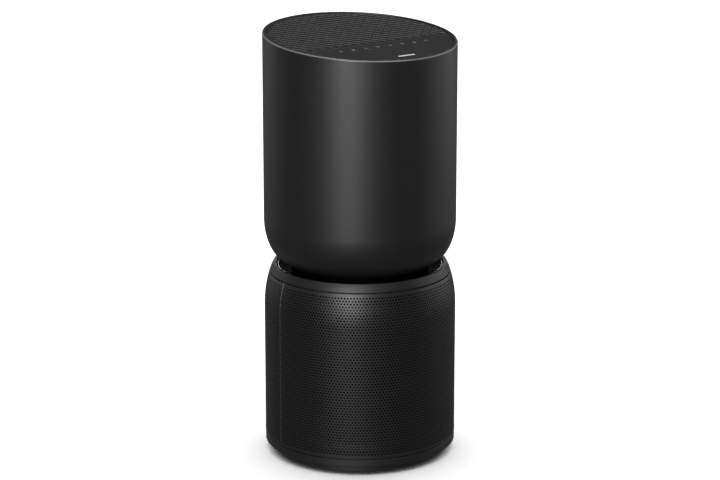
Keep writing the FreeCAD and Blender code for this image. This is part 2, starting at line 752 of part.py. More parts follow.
def upper_shell():
    """Outer skin of the upper drum with its rim and floor."""
    top = TOP_CENTRE + 20
    centre_r = DRUM_R - BOWL_RX
    bore = DRUM_R - SHELL_WALL
    floor_top = SHELL_BOTTOM + SHELL_WALL
    outer = upright_ellipse(centre_r, SHELL_STRAIGHT, BOWL_RX, BOWL_RZ, -90, 0)
    inner = upright_ellipse(centre_r, SHELL_STRAIGHT, BOWL_RX - SHELL_WALL,
                            BOWL_RZ - SHELL_WALL, -90, 0)
    rest = [line((66.0, SHELL_BOTTOM), (centre_r, SHELL_BOTTOM)),
            line((DRUM_R, SHELL_STRAIGHT), (DRUM_R, top)),
            line((DRUM_R, top), (bore, top)),
            line((bore, top), (bore, SHELL_STRAIGHT)),
            line((centre_r, floor_top), (66.0, floor_top)),
            line((66.0, floor_top), (66.0, SHELL_BOTTOM))]
    body = lathe([outer, inner] + rest).cut(slab(-60, 0))
    rim = slanted(tall(bore + 0.5).cut(tall(RIM_BORE)), 0, RIM_DEPTH)
    bosses = [shell_boss(x, y) for x, y in FRAME_SCREW_SPOTS]
    body = joined([body, rim] + bosses)
    outer_edge = [item for item in body.Edges if is_top_edge(item)]
    body = body.makeFillet(1.2, outer_edge)
    cuts = [disc(HOLE_R, TOP_CENTRE - 28, TOP_CENTRE + 30, x, y).cut(slab(-60, RIM_DEPTH))
            for x, y in FRAME_SCREW_SPOTS]
    cuts += [disc(HOLE_R, SHELL_BOTTOM - 1, floor_top + 1, x, y) for x, y in NECK_SCREW_SPOTS]
    return holes_cut(body, cuts)


def is_top_edge(edge):
    """True for the outer edge of the slanted rim."""
    middle = edge.valueAt((edge.FirstParameter + edge.LastParameter) / 2)
    outside = abs(math.hypot(middle.x, middle.y) - DRUM_R) < 0.01
    return outside and abs(middle.z - top_height(middle.y)) < 0.01


def top_frame():
    """Ring and cross bar that carry the grille and the touch panel."""
    upper = DISC_DROP + DISC_T
    lower = RIM_DEPTH + 3.0
    bore = DRUM_R - SHELL_WALL
    neck = slanted(tall(RIM_BORE - 0.1).cut(tall(DUCT_R + 0.3)), upper, lower)
    flange = slanted(tall(bore).cut(tall(RIM_BORE - 1.0)), RIM_DEPTH + 0.1, lower)
    front = tall_block(-DRUM_R, DRUM_R, -DRUM_R, DUCT_FRONT - 0.2)
    bar = slanted(tall_block(-98, 98, SPLIT_Y - 7, DUCT_FRONT - 0.2), upper, lower)
    pad = slanted(tall(RIM_BORE - 0.1).cut(tall(98.0)).common(front), upper, lower)
    body = joined([neck, flange, pad, bar.common(tall(RIM_BORE - 0.5))])
    cuts = []
    for x, y in FRAME_SCREW_SPOTS:
        cuts.append(disc(HOLE_R, TOP_CENTRE - 40, TOP_CENTRE + 30, x, y))
        sink = disc(SCREW_HEAD_R + 0.3, TOP_CENTRE - 40, TOP_CENTRE + 30, x, y)
        cuts.append(sink.cut(block(-200, 200, -200, 200, 0, frame_seat(y))))
    return holes_cut(body, cuts)


def frame_seat(y):
    """Height that the top frame's screw heads rest on."""
    return top_height(y) - DISC_DROP - DISC_T - SCREW_HEAD_T - 0.4


def frame_screws():
    """Four screws that hold the top frame to the upper drum."""
    return [screw(x, y, frame_seat(y), 12.0, up=False) for x, y in FRAME_SCREW_SPOTS]


def half_disc(front):
    """The part of the top disc in front of the straight joint, or behind it."""
    gap = 0.3
    if front:
        side = tall_block(-DRUM_R, DRUM_R, -DRUM_R, SPLIT_Y - gap)
    else:
        side = tall_block(-DRUM_R, DRUM_R, SPLIT_Y + gap, DRUM_R)
    return slanted(tall(DISC_R).common(side), DISC_DROP, DISC_DROP + DISC_T)


def diamond_prisms():
    """Upright diamond prisms, one for each opening of the lattice."""
    side = math.hypot(LATTICE_X / 2, LATTICE_Y / 2)
    spacing = LATTICE_X * LATTICE_Y / 2 / side
    scale = (spacing - RIB) / spacing
    half_x, half_y = LATTICE_X / 2 * scale, LATTICE_Y / 2 * scale
    prisms = []
    columns = int(LATTICE_R / LATTICE_X) + 1
    rows = int(LATTICE_R / LATTICE_Y) + 1
    for row in range(-2 * rows, 2 * rows + 1):
        y = row * LATTICE_Y / 2
        shift = (row % 2) * LATTICE_X / 2
        for column in range(-columns, columns + 1):
            x = column * LATTICE_X + shift
            if math.hypot(x, y) > LATTICE_R + half_y or y < SPLIT_Y:
                continue
            corners = [(x + half_x, y), (x, y + half_y), (x - half_x, y), (x, y - half_y)]
            prisms.append(prism(corners, TOP_CENTRE - 60, TOP_CENTRE + 30))
    return prisms


def top_grille():
    """Outlet grille: a deep diamond lattice in a thin border."""
    front = DUCT_FRONT + DUCT_WALL + 0.2
    zone = tall(LATTICE_R).common(tall_block(-DRUM_R, DRUM_R, front, DRUM_R))
    lattice = slanted(zone, DISC_DROP, LATTICE_DEPTH)
    body = joined([half_disc(front=False), lattice])
    room = tall(LATTICE_R - 0.4).common(tall_block(-DRUM_R, DRUM_R, front + 0.4, DRUM_R))
    openings = Part.makeCompound(diamond_prisms()).common(room)
    return body.cut(openings)


def key_spots():
    """(x, y) of each touch key."""
    first = -(KEYS - 1) / 2 * KEY_PITCH
    return [(first + index * KEY_PITCH, KEY_Y) for index in range(KEYS)]


def control_panel():
    """Touch panel in front of the grille, with a window for each key."""
    windows = [disc(KEY_R + 0.1, TOP_CENTRE - 60, TOP_CENTRE + 30, x, y)
               for x, y in key_spots()]
    return holes_cut(half_disc(front=True), windows)


def touch_icons():
    """Light windows of the touch keys, flush with the panel."""
    return [slanted(disc(KEY_R, TOP_CENTRE - 60, TOP_CENTRE + 30, x, y),
                    DISC_DROP, DISC_DROP + DISC_T) for x, y in key_spots()]


def touch_board():
    """Sensor board under the touch panel."""
    top = DISC_DROP + DISC_T
    return slanted(tall_block(-68, 68, -62, SPLIT_Y - 7.5), top, top + 1.6)


def control_board():
    """Main control board, upright on the front of the outlet duct."""
    face = DUCT_FRONT
    return joined([block(-45, 45, face - 1.6, face, 390, 450),
                   block(-30, -12, face - 5, face - 1.4, 398, 416),
                   block(10, 34, face - 8, face - 1.4, 394, 402),
                   block(-8, 12, face - 4, face - 1.4, 418, 438),
                   block(-40, -28, face - 10, face - 1.4, 430, 444)])


PIECES = {
    "rubber_foot": rubber_foot,
    "foot_plinth": foot_plinth,
    "base_ring": base_ring,
    "bay_floor": bay_floor,
    "base_screws": base_screws,
    "power_inlet": power_inlet,
    "inlet_pins": inlet_pins,
    "power_board": power_board,
    "filter_rails": filter_rails,
    "pillars": pillars,
    "pillar_screws": pillar_screws,
    "front_grille": front_grille,
    "grille_clips": grille_clips,
    "strike_plates": strike_plates,
    "rear_cover": rear_cover,
    "cover_magnets": cover_magnets,
    "filter_bottom_cap": filter_bottom_cap,
    "filter_top_cap": filter_top_cap,
    "filter_gasket": filter_gasket,
    "inner_cage": inner_cage,
    "carbon_layer": carbon_layer,
    "pleated_media": pleated_media,
    "prefilter_net": prefilter_net,
    "filter_pull_tab": filter_pull_tab,
    "fan_deck": fan_deck,
    "dust_sensor": dust_sensor,
    "shoulder_ring": shoulder_ring,
    "light_ring": light_ring,
    "led_board": led_board,
    "neck_collar": neck_collar,
    "neck_screws": neck_screws,
    "inlet_guard": inlet_guard,
    "bellmouth": bellmouth,
    "fan_casing": fan_casing,
    "impeller": impeller,
    "impeller_nut": impeller_nut,
    "motor_shaft": motor_shaft,
    "motor_rotor": motor_rotor,
    "motor_stator": motor_stator,
    "motor_bearings": motor_bearings,
    "motor_housing": motor_housing,
    "motor_board": motor_board,
    "motor_dampers": motor_dampers,
    "motor_screws": motor_screws,
    "diffuser": diffuser,
    "hub_cap": hub_cap,
    "outlet_duct": outlet_duct,
    "upper_shell": upper_shell,
    "top_frame": top_frame,
    "frame_screws": frame_screws,
    "top_grille": top_grille,
    "control_panel": control_panel,
    "touch_icons": touch_icons,
    "touch_board": touch_board,
    "control_board": control_board,
}


def main():
    """Build every piece and write it to parts/."""
    os.makedirs("parts", exist_ok=True)
    for name, make in PIECES.items():
        made = make()
        shape = Part.makeCompound(made) if isinstance(made, list) else made
        shape.exportStep(os.path.join("parts", name + ".step"))
        print(name, len(shape.Solids), round(shape.Volume / 1000.0, 2), shape.isValid())


main()
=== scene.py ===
"""Tower air purifier: the visible model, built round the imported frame.

Metres, +Z up, the front faces -Y.  Every sub-assembly is a class that holds its sizes, makes
its meshes and dresses them; every finish is a small frozen class that makes one material.
"""
import functools
import json
import logging
import math
from dataclasses import dataclass, field
from enum import Enum
from typing import Callable, Iterable, Optional, Sequence

import bmesh
import bpy
import numpy as np
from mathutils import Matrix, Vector
from mathutils.geometry import tessellate_polygon


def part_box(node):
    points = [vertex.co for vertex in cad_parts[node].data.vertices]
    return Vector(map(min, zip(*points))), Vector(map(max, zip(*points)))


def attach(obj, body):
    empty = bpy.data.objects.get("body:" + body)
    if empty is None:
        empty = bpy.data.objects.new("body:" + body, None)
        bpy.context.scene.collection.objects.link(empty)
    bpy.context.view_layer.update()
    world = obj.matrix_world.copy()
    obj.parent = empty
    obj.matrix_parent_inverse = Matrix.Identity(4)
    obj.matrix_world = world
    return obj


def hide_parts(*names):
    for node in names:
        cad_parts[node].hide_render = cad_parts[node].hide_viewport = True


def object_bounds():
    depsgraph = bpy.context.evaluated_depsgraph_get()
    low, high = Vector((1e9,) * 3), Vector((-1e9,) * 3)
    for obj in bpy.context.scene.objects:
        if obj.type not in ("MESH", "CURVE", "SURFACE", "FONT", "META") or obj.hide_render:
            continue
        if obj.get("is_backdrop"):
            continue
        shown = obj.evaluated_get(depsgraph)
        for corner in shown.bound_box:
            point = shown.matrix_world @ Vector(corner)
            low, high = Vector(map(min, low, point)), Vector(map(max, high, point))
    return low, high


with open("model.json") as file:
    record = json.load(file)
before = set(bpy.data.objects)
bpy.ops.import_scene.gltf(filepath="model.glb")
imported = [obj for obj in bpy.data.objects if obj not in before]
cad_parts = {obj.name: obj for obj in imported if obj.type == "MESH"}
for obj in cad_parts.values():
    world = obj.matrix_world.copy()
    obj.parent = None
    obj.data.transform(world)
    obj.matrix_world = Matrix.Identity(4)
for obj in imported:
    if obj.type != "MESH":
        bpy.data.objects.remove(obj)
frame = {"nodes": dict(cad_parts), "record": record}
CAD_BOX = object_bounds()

LOG = logging.getLogger("purifier")
MM = 0.001
FILTER_RADIUS = 88 * MM
SHOULDER_WIDTH = 31.8 * MM      # the lower drum's shoulder is a quarter ellipse, this wide,
SHOULDER_HEIGHT = 68.1 * MM     # this tall,
SHOULDER_START = 172.2 * MM     # and it starts at this height
FACETS = 256                    # of every turned piece

Point2 = tuple[float, float]
Polygon = list[Point2]
Face = tuple[int, ...]
Socket = bpy.types.NodeSocket


# ------------------------------------------------------------------------------------------
# Finishes
# ------------------------------------------------------------------------------------------
class Paint:
    """A node tree under construction, with short calls for the nodes that finishes share."""

    def __init__(self, name: str) -> None:
        """Start an empty material with one Principled shader.

        Args:
            name: name of the material.
        """
        self.material = bpy.data.materials.new(name)
        self.material.use_nodes = True
        self.tree = self.material.node_tree
        self.shader = self.tree.nodes["Principled BSDF"]
        self.place = self.node("ShaderNodeTexCoord").outputs["Object"]

    def node(self, kind: str, **settings: object) -> bpy.types.Node:
        """Add a node.

        Args:
            kind: Blender's type name.
            settings: attributes of the node.

        Returns:
            The new node.
        """
        made = self.tree.nodes.new(kind)
        for key, value in settings.items():
            setattr(made, key, value)
        return made

    def link(self, source: Socket, target: Socket) -> None:
        """Join an output to an input."""
        self.tree.links.new(source, target)

    def set(self, **values: object) -> None:
        """Set constant values on the shader's own sockets.

        Args:
            values: socket names with underscores for spaces, and their values.
        """
        for key, value in values.items():
            self.shader.inputs[key.replace("_", " ")].default_value = value

    def stretched(self, scale: Sequence[float], turn: Sequence[float] = (0, 0, 0)) -> Socket:
        """Object coordinates, scaled and turned.

        Args:
            scale: factor along each axis.
            turn: rotation in radians about each axis.

        Returns:
            The output that carries them.
        """
        mapping = self.node("ShaderNodeMapping")
        mapping.inputs["Scale"].default_value = tuple(scale)
        mapping.inputs["Rotation"].default_value = tuple(turn)
        self.link(self.place, mapping.inputs["Vector"])
        return mapping.outputs["Vector"]

    def noise(self, size: float, detail: float = 3.0, vector: Optional[Socket] = None,
              roughness: float = 0.55) -> Socket:
        """Noise whose features are about as large as `size`.

        Args:
            size: feature size in metres.
            detail: octaves.
            vector: coordinates; object coordinates if left out.
            roughness: weight of the finer octaves.

        Returns:
            The noise value.
        """
        made = self.node("ShaderNodeTexNoise")
        made.inputs["Scale"].default_value = 1.0 / size
        made.inputs["Detail"].default_value = detail
        made.inputs["Roughness"].default_value = roughness
        self.link(vector or self.place, made.inputs["Vector"])
        return made.outputs["Fac"]

    def cells(self, size: float, vector: Optional[Socket] = None, edge: bool = False) -> Socket:
        """Cell pattern about as large as `size`.

        Args:
            size: cell size in metres.
            vector: coordinates; object coordinates if left out.
            edge: distance to the cell's edge instead of its centre.

        Returns:
            The distance.
        """
        made = self.node("ShaderNodeTexVoronoi")
        if edge:
            made.feature = "DISTANCE_TO_EDGE"
        made.inputs["Scale"].default_value = 1.0 / size
        self.link(vector or self.place, made.inputs["Vector"])
        return made.outputs["Distance"]

    def waves(self, size: float, direction: str, vector: Optional[Socket] = None,
              distortion: float = 0.0) -> Socket:
        """Parallel threads or grooves.

        Args:
            size: distance between them in metres.
            direction: axis across which they repeat: X, Y or Z.
            vector: coordinates; object coordinates if left out.
            distortion: waviness.

        Returns:
            The wave's value.
        """
        made = self.node("ShaderNodeTexWave", bands_direction=direction)
        made.inputs["Scale"].default_value = 0.314 / size
        made.inputs["Distortion"].default_value = distortion
        self.link(vector or self.place, made.inputs["Vector"])
        return made.outputs["Fac"]

    def math(self, operation: str, first: Socket, second: object) -> Socket:
        """Combine two values.

        Args:
            operation: name of the math operation.
            first: first value.
            second: second value, a socket or a number.

        Returns:
            The result.
        """
        made = self.node("ShaderNodeMath", operation=operation)
        self.link(first, made.inputs[0])
        if isinstance(second, (int, float)):
            made.inputs[1].default_value = second
        else:
            self.link(second, made.inputs[1])
        return made.outputs[0]

    def span(self, value: Socket, low: float, high: float, start: float = 0.3,
             end: float = 0.7) -> Socket:
        """Map a value that runs from start to end onto low to high.

        Args:
            value: the input.
            low: result at start.
            high: result at end.
            start: input that gives low.
            end: input that gives high.

        Returns:
            The mapped value.
        """
        made = self.node("ShaderNodeMapRange")
        for key, number in (("From Min", start), ("From Max", end), ("To Min", low),
                            ("To Max", high)):
            made.inputs[key].default_value = number
        self.link(value, made.inputs["Value"])
        return made.outputs["Result"]

    def tint(self, value: Socket, dark: Sequence[float], light: Sequence[float],
             start: float = 0.35, end: float = 0.65) -> None:
        """Drive the base colour between two tints.

        Args:
            value: the driving value.
            dark: colour at start.
            light: colour at end.
            start: value that gives the dark tint.
            end: value that gives the light tint.
        """
        ramp = self.node("ShaderNodeValToRGB")
        ramp.color_ramp.elements[0].position = start
        ramp.color_ramp.elements[1].position = end
        ramp.color_ramp.elements[0].color = (*dark, 1.0)
        ramp.color_ramp.elements[1].color = (*light, 1.0)
        self.link(value, ramp.inputs["Fac"])
        self.link(ramp.outputs["Color"], self.shader.inputs["Base Color"])

    def rough(self, value: Socket, low: float, high: float) -> None:
        """Drive the roughness between two values."""
        self.link(self.span(value, low, high), self.shader.inputs["Roughness"])

    def bump(self, layers: Sequence[tuple[Socket, float, float]]) -> None:
        """Stack bump layers into the shader's normal.

        Args:
            layers: (height, strength, depth in metres) of each layer, coarse ones first.
        """
        normal: Optional[Socket] = None
        for height, strength, depth in layers:
            made = self.node("ShaderNodeBump")
            made.inputs["Strength"].default_value = strength
            made.inputs["Distance"].default_value = depth
            self.link(height, made.inputs["Height"])
            if normal is not None:
                self.link(normal, made.inputs["Normal"])
            normal = made.outputs["Normal"]
        if normal is not None:
            self.link(normal, self.shader.inputs["Normal"])


def shades(colour: Sequence[float], spread: float) -> tuple[list[float], list[float]]:
    """A darker and a lighter tint of a colour, `spread` of it apart either way."""
    return [c * (1 - spread) for c in colour], [min(1.0, c * (1 + spread)) for c in colour]


@dataclass(frozen=True)
class Finish:
    """What all finishes share: a name and a colour."""

    name: str
    colour: tuple[float, float, float]

    @functools.lru_cache(maxsize=None)
    def material(self) -> bpy.types.Material:
        """Make the material, the first time it is asked for."""
        paint = Paint(self.name)
        self.fill(paint)
        return paint.material

    def fill(self, paint: Paint) -> None:
        """Add the finish's own nodes; each kind of finish has its own."""
        raise NotImplementedError


@dataclass(frozen=True)
class MouldedPlastic(Finish):
    """Spark-eroded moulded plastic: fine grain, faint mottling and slow waviness."""

    roughness: float = 0.45
    grain: float = 0.35 * MM
    depth: float = 0.012 * MM
    specular: float = 0.5

    def fill(self, paint: Paint) -> None:
        """Grain in the bump, mottling in the colour, and handling marks in the roughness."""
        mottle = paint.noise(28 * MM, 4.0)
        grain = paint.noise(self.grain, 2.0, roughness=0.6)
        dark, light = shades(self.colour, 0.07)
        paint.tint(mottle, dark, light)
        paint.rough(paint.noise(9 * MM, 5.0), self.roughness - 0.012, self.roughness + 0.016)
        paint.bump([(paint.noise(60 * MM, 1.0), 0.03, 0.1 * MM), (grain, 0.35, self.depth)])
        paint.set(Specular_IOR_Level=self.specular)


@dataclass(frozen=True)
class GlossyPlastic(Finish):
    """Polished plastic with faint ripples and dust in its roughness."""

    roughness: float = 0.12

    def fill(self, paint: Paint) -> None:
        """Ripples in the bump, and haze in the roughness."""
        dark, light = shades(self.colour, 0.05)
        paint.tint(paint.noise(15 * MM), dark, light)
        paint.rough(paint.noise(6 * MM, 6.0), self.roughness, self.roughness + 0.05)
        paint.bump([(paint.noise(22 * MM, 1.0), 0.12, 0.15 * MM)])
        paint.set(Coat_Weight=0.6, Coat_Roughness=0.06)


@dataclass(frozen=True)
class Metal(Finish):
    """Bare metal with drawn or turned marks."""

    roughness: float = 0.3
    marks: tuple[float, float, float] = (1.0, 1.0, 40.0)

    def fill(self, paint: Paint) -> None:
        """Streaks in the roughness and the bump."""
        streaks = paint.noise(4 * MM, 4.0, paint.stretched(self.marks))
        dark, light = shades(self.colour, 0.08)
        paint.tint(streaks, dark, light)
        paint.rough(streaks, self.roughness - 0.06, self.roughness + 0.1)
        paint.bump([(streaks, 0.15, 0.01 * MM)])
        paint.set(Metallic=1.0)


@dataclass(frozen=True)
class Rubber(Finish):
    """Matte rubber with a fine pitted skin."""

    def fill(self, paint: Paint) -> None:
        """Pits in the bump, and a dusty bloom in the colour."""
        pits = paint.cells(0.6 * MM)
        dark, light = shades(self.colour, 0.2)
        paint.tint(paint.noise(12 * MM, 5.0), dark, light)
        paint.rough(paint.noise(5 * MM), 0.72, 0.86)
        paint.bump([(pits, 0.4, 0.03 * MM)])
        paint.set(Specular_IOR_Level=0.35)


@dataclass(frozen=True)
class Cloth(Finish):
    """Woven net or ribbon wound round a drum."""

    thread: float = 0.8 * MM
    turns: bool = True
    radius: float = 86 * MM

    def fill(self, paint: Paint) -> None:
        """Crossing threads in the bump and the colour."""
        around, up = self.threads(paint)
        weave = paint.math("MULTIPLY", around, up)
        dark = [c * 0.35 for c in self.colour]
        paint.tint(weave, dark, self.colour, 0.05, 0.6)
        paint.rough(paint.noise(3 * MM), 0.75, 0.92)
        paint.bump([(weave, 0.8, 0.15 * MM)])
        paint.set(Sheen_Weight=0.15, Sheen_Roughness=0.5, Specular_IOR_Level=0.3)

    def threads(self, paint: Paint) -> tuple[Socket, Socket]:
        """Threads across and along, straight or wound round the upright axis.

        Args:
            paint: the material under construction.

        Returns:
            The two wave values.
        """
        up = paint.waves(self.thread, "Z")
        if not self.turns:
            return paint.waves(self.thread, "X"), up
        axis = paint.node("ShaderNodeSeparateXYZ")
        paint.link(paint.place, axis.inputs[0])
        angle = paint.math("ARCTAN2", axis.outputs["Y"], axis.outputs["X"])
        count = round(math.tau * self.radius / self.thread)
        wave = paint.math("SINE", paint.math("MULTIPLY", angle, float(count)), 0.0)
        return paint.span(wave, 0.0, 1.0, -1.0, 1.0), up


@dataclass(frozen=True)
class Granules(Finish):
    """Packed granules, fibres or foam cells."""

    size: float = 1.5 * MM
    roughness: float = 0.8

    def fill(self, paint: Paint) -> None:
        """Cells in the bump and the colour."""
        cells = paint.cells(self.size)
        dark, light = shades(self.colour, 0.35)
        paint.tint(cells, light, dark, 0.1, 0.7)
        paint.rough(paint.noise(4 * MM), self.roughness - 0.08, self.roughness + 0.08)
        paint.bump([(cells, 0.6, 0.2 * self.size)])


@dataclass(frozen=True)
class CircuitBoard(Finish):
    """Solder mask over copper tracks."""

    def fill(self, paint: Paint) -> None:
        """Tracks as the edges of stretched cells."""
        tracks = paint.cells(5 * MM, paint.stretched((1.0, 1.6, 1.0)), edge=True)
        dark, light = shades(self.colour, 0.35)
        paint.tint(tracks, light, dark, 0.04, 0.09)
        paint.rough(paint.noise(3 * MM), 0.25, 0.4)
        paint.bump([(tracks, 0.3, 0.03 * MM)])
        paint.set(Coat_Weight=0.4, Coat_Roughness=0.2)


@dataclass(frozen=True)
class PaleFloor(Finish):
    """Seamless studio paper."""

    def fill(self, paint: Paint) -> None:
        """Barely visible fibre."""
        dark, light = shades(self.colour, 0.004)
        paint.tint(paint.noise(0.4, 2.0), dark, light)
        paint.rough(paint.noise(0.02), 0.86, 0.92)
        paint.bump([(paint.noise(2 * MM), 0.02, 0.05 * MM)])
        paint.set(Specular_IOR_Level=0.1)


class Slot(Enum):
    """The record's material slots, each with its finish."""

    SHELL = ("shell_plastic", MouldedPlastic("shell", (0.0045, 0.0045, 0.0046), 0.45))
    CAGE = ("cage_plastic", MouldedPlastic("cage", (0.0055, 0.0055, 0.0056), 0.42))
    RING = ("ring_plastic", MouldedPlastic("ring", (0.0045, 0.0045, 0.0046), 0.46))
    GRILLE = ("grille_plastic", MouldedPlastic("grille", (0.0045, 0.0045, 0.0046), 0.5,
                                               specular=0.36))
    PANEL = ("panel_plastic", MouldedPlastic("panel", (0.0045, 0.0045, 0.0046), 0.5,
                                             specular=0.42))
    ICON = ("icon_window", GlossyPlastic("icon", (0.30, 0.30, 0.306), 0.35))
    LIGHT = ("light_guide", MouldedPlastic("light_guide", (0.002, 0.002, 0.0021), 0.5,
                                           specular=0.002))
    STRUCTURE = ("structure_plastic", MouldedPlastic("structure", (0.010, 0.010, 0.0105), 0.55))
    FAN = ("fan_plastic", MouldedPlastic("fan", (0.07, 0.07, 0.075), 0.42))
    INLET = ("inlet_plastic", MouldedPlastic("inlet", (0.015, 0.015, 0.016), 0.34))
    RUBBER = ("rubber", Rubber("rubber", (0.02, 0.02, 0.021)))
    FOAM = ("foam", Granules("foam", (0.05, 0.05, 0.052), 0.9 * MM, 0.9))
    STEEL = ("steel", Metal("steel", (0.56, 0.56, 0.58), 0.32))
    SHAFT = ("shaft_steel", Metal("shaft", (0.62, 0.62, 0.64), 0.2))
    BRASS = ("contact_brass", Metal("contact", (0.72, 0.66, 0.5), 0.24))
    COPPER = ("copper_winding", Metal("winding", (0.60, 0.26, 0.12), 0.35, (1.0, 1.0, 300.0)))
    MAGNET = ("magnet", Metal("magnet", (0.42, 0.42, 0.44), 0.28))
    MOTOR = ("motor_can", Metal("motor_can", (0.60, 0.61, 0.63), 0.42))
    BOARD = ("circuit_board", CircuitBoard("board", (0.02, 0.11, 0.05)))
    SENSOR = ("sensor_case", MouldedPlastic("sensor", (0.05, 0.05, 0.055), 0.5))
    CAP = ("filter_cap", MouldedPlastic("filter_cap", (0.07, 0.07, 0.074), 0.5))
    PAPER = ("filter_paper", Granules("paper", (0.72, 0.73, 0.71), 0.5 * MM, 0.9))
    CARBON = ("carbon", Granules("carbon", (0.02, 0.02, 0.02), 2.0 * MM, 0.6))
    NET = ("net", Cloth("net", (0.014, 0.014, 0.0145), 0.7 * MM))
    RIBBON = ("ribbon", Cloth("ribbon", (0.10, 0.20, 0.40), 0.9 * MM, False))

    def __init__(self, key: str, finish: Finish) -> None:
        """Keep the slot's name in the record and its finish."""
        self.key = key
        self.finish = finish

    @property
    def material(self) -> bpy.types.Material:
        """The material of the slot's finish."""
        return self.finish.material()


# The rim's outer rounding is painted far lighter than the shell: a painted highlight along the top
# edge.
PAINTED_HIGHLIGHT_FINISH = MouldedPlastic("painted_highlight_edge", (0.13, 0.13, 0.132), 0.3)
# The grille's soft edges and hole chamfers are painted lighter than the grille: painted highlights
# on the rib edges.
CHAMFER_PAINTED_HIGHLIGHT_FINISH = MouldedPlastic("cell_edge_painted_highlight", (0.027, 0.027, 0.0274), 0.6)
GLINT_FINISH = GlossyPlastic("glint", (0.004, 0.004, 0.0042), 0.1)
# The neck collar is painted near-black, darker than the other inner plastic: painted shade in the
# gap between the drums.
NECK_PAINTED_SHADE_FINISH = MouldedPlastic("neck", (0.0012, 0.0012, 0.0012), 0.6, specular=0.01)
MARK_FINISH = GlossyPlastic("mark", (0.82, 0.82, 0.83), 0.3)


# ------------------------------------------------------------------------------------------
# Mesh helpers
# ------------------------------------------------------------------------------------------
@dataclass
class Soup:
    """Points and faces that grow into one mesh."""

    points: list[tuple[float, float, float]] = field(default_factory=list)
    faces: list[Face] = field(default_factory=list)

    def add(self, points: Iterable[Sequence[float]], faces: Iterable[Sequence[int]]) -> None:
        """Append points, and faces that count from the first of them.

        Args:
            points: (x, y, z) of each new point.
            faces: corners of each new face.
        """
        start = len(self.points)
        self.points.extend(tuple(float(v) for v in point) for point in points)
        self.faces.extend(tuple(start + int(i) for i in item) for item in faces)

    def tube(self, loops: Sequence[Sequence[Sequence[float]]], closed: bool = False) -> None:
        """Join loops of equal length with quads.

        Args:
            loops: rings of points, each run the same way round.
            closed: also join the last loop to the first.
        """
        count = len(loops[0])
        faces = []
        for row in range(len(loops) if closed else len(loops) - 1):
            below, above = row * count, (row + 1) % len(loops) * count
            for i in range(count):
                j = (i + 1) % count
                faces.append((below + i, below + j, above + j, above + i))
        self.add([point for loop in loops for point in loop], faces)


def arc_points(centre: Point2, half_w: float, half_h: float, start: float, end: float,
               steps: int) -> list[Point2]:
    """Points on an upright elliptical arc; angles in degrees from the outside upwards."""
    turns = [math.radians(start + (end - start) * i / steps) for i in range(steps + 1)]
    return [(centre[0] + half_w * math.cos(t), centre[1] + half_h * math.sin(t)) for t in turns]


def lathe(outline: Sequence[Point2],
          height: Callable[[float, float], float] = lambda y, z: z) -> Soup:
    """Turn a closed (radius, height) outline about the upright axis.

    Args:
        outline: the outline, run once round.
        height: gives the final height of a point from its y and z.

    Returns:
        The points and faces.
    """
    turns = [math.tau * i / FACETS for i in range(FACETS)]
    loops = []
    for radius, z in outline:
        ring = [(radius * math.cos(t), radius * math.sin(t)) for t in turns]
        loops.append([(x, y, height(y, z)) for x, y in ring])
    soup = Soup()
    soup.tube(loops, closed=True)
    return soup


def clipped(shape: Polygon, region: Polygon) -> Polygon:
    """Cut a convex shape back to a convex region; both run anticlockwise.

    Args:
        shape: the polygon to cut.
        region: the polygon to keep inside.

    Returns:
        What is left, which may be empty.
    """
    result = list(shape)
    for (ax, ay), (bx, by) in zip(region, region[1:] + region[:1]):
        ex, ey = bx - ax, by - ay
        kept: Polygon = []
        for (px, py), (qx, qy) in zip(result, result[1:] + result[:1]):
            p_side = ex * (py - ay) - ey * (px - ax)
            q_side = ex * (qy - ay) - ey * (qx - ax)
            if p_side >= 0:
                kept.append((px, py))
            if (p_side >= 0) != (q_side >= 0):
                t = p_side / (p_side - q_side)
                kept.append((px + (qx - px) * t, py + (qy - py) * t))
        result = kept
        if len(result) < 3:
            return []
    return result


def area(shape: Polygon) -> float:
    """Area of a polygon, positive if it runs anticlockwise."""
    return sum(ax * by - bx * ay
               for (ax, ay), (bx, by) in zip(shape, shape[1:] + shape[:1])) / 2


def tidy(shape: Polygon, least: float) -> Polygon:
    """Drop corners that lie closer than `least` to the one before."""
    kept: Polygon = []
    for point in shape:
        if not kept or math.dist(point, kept[-1]) > least:
            kept.append(point)
    if len(kept) > 1 and math.dist(kept[0], kept[-1]) <= least:
        kept.pop()
    return kept


def grown(shape: Polygon, amount: float) -> Polygon:
    """Move every side of a convex anticlockwise polygon outwards.

    Args:
        shape: the polygon.
        amount: distance; a negative one shrinks it.

    Returns:
        A polygon with the same number of corners.
    """
    result: Polygon = []
    count = len(shape)
    for i in range(count):
        last, here, after = (Vector(shape[i - 1]), Vector(shape[i]),
                             Vector(shape[(i + 1) % count]))
        first = (here - last).normalized()
        second = (after - here).normalized()
        out = Vector((first.y + second.y, -first.x - second.x))
        scale = amount / max(0.3, 1 + first.dot(second))
        result.append((here.x + out.x * scale, here.y + out.y * scale))
    return result


@dataclass(frozen=True)
class Box:
    """Lowest and highest corner of a CAD node."""

    low: Vector
    high: Vector

    @classmethod
    @functools.lru_cache(maxsize=None)
    def of(cls, node: str) -> "Box":
        """Box of a node, in metres; measured once."""
        low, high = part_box(node)
        return cls(Vector(low), Vector(high))

    @property
    def radius(self) -> float:
        """Half the width along X."""
        return (self.high.x - self.low.x) / 2


def body_of_node(node: str) -> str:
    """Name of the CAD body that a node belongs to."""
    bodies = frame["record"]["behaviour"]["bodies"]
    return next(name for name, nodes in bodies.items() if node in nodes)


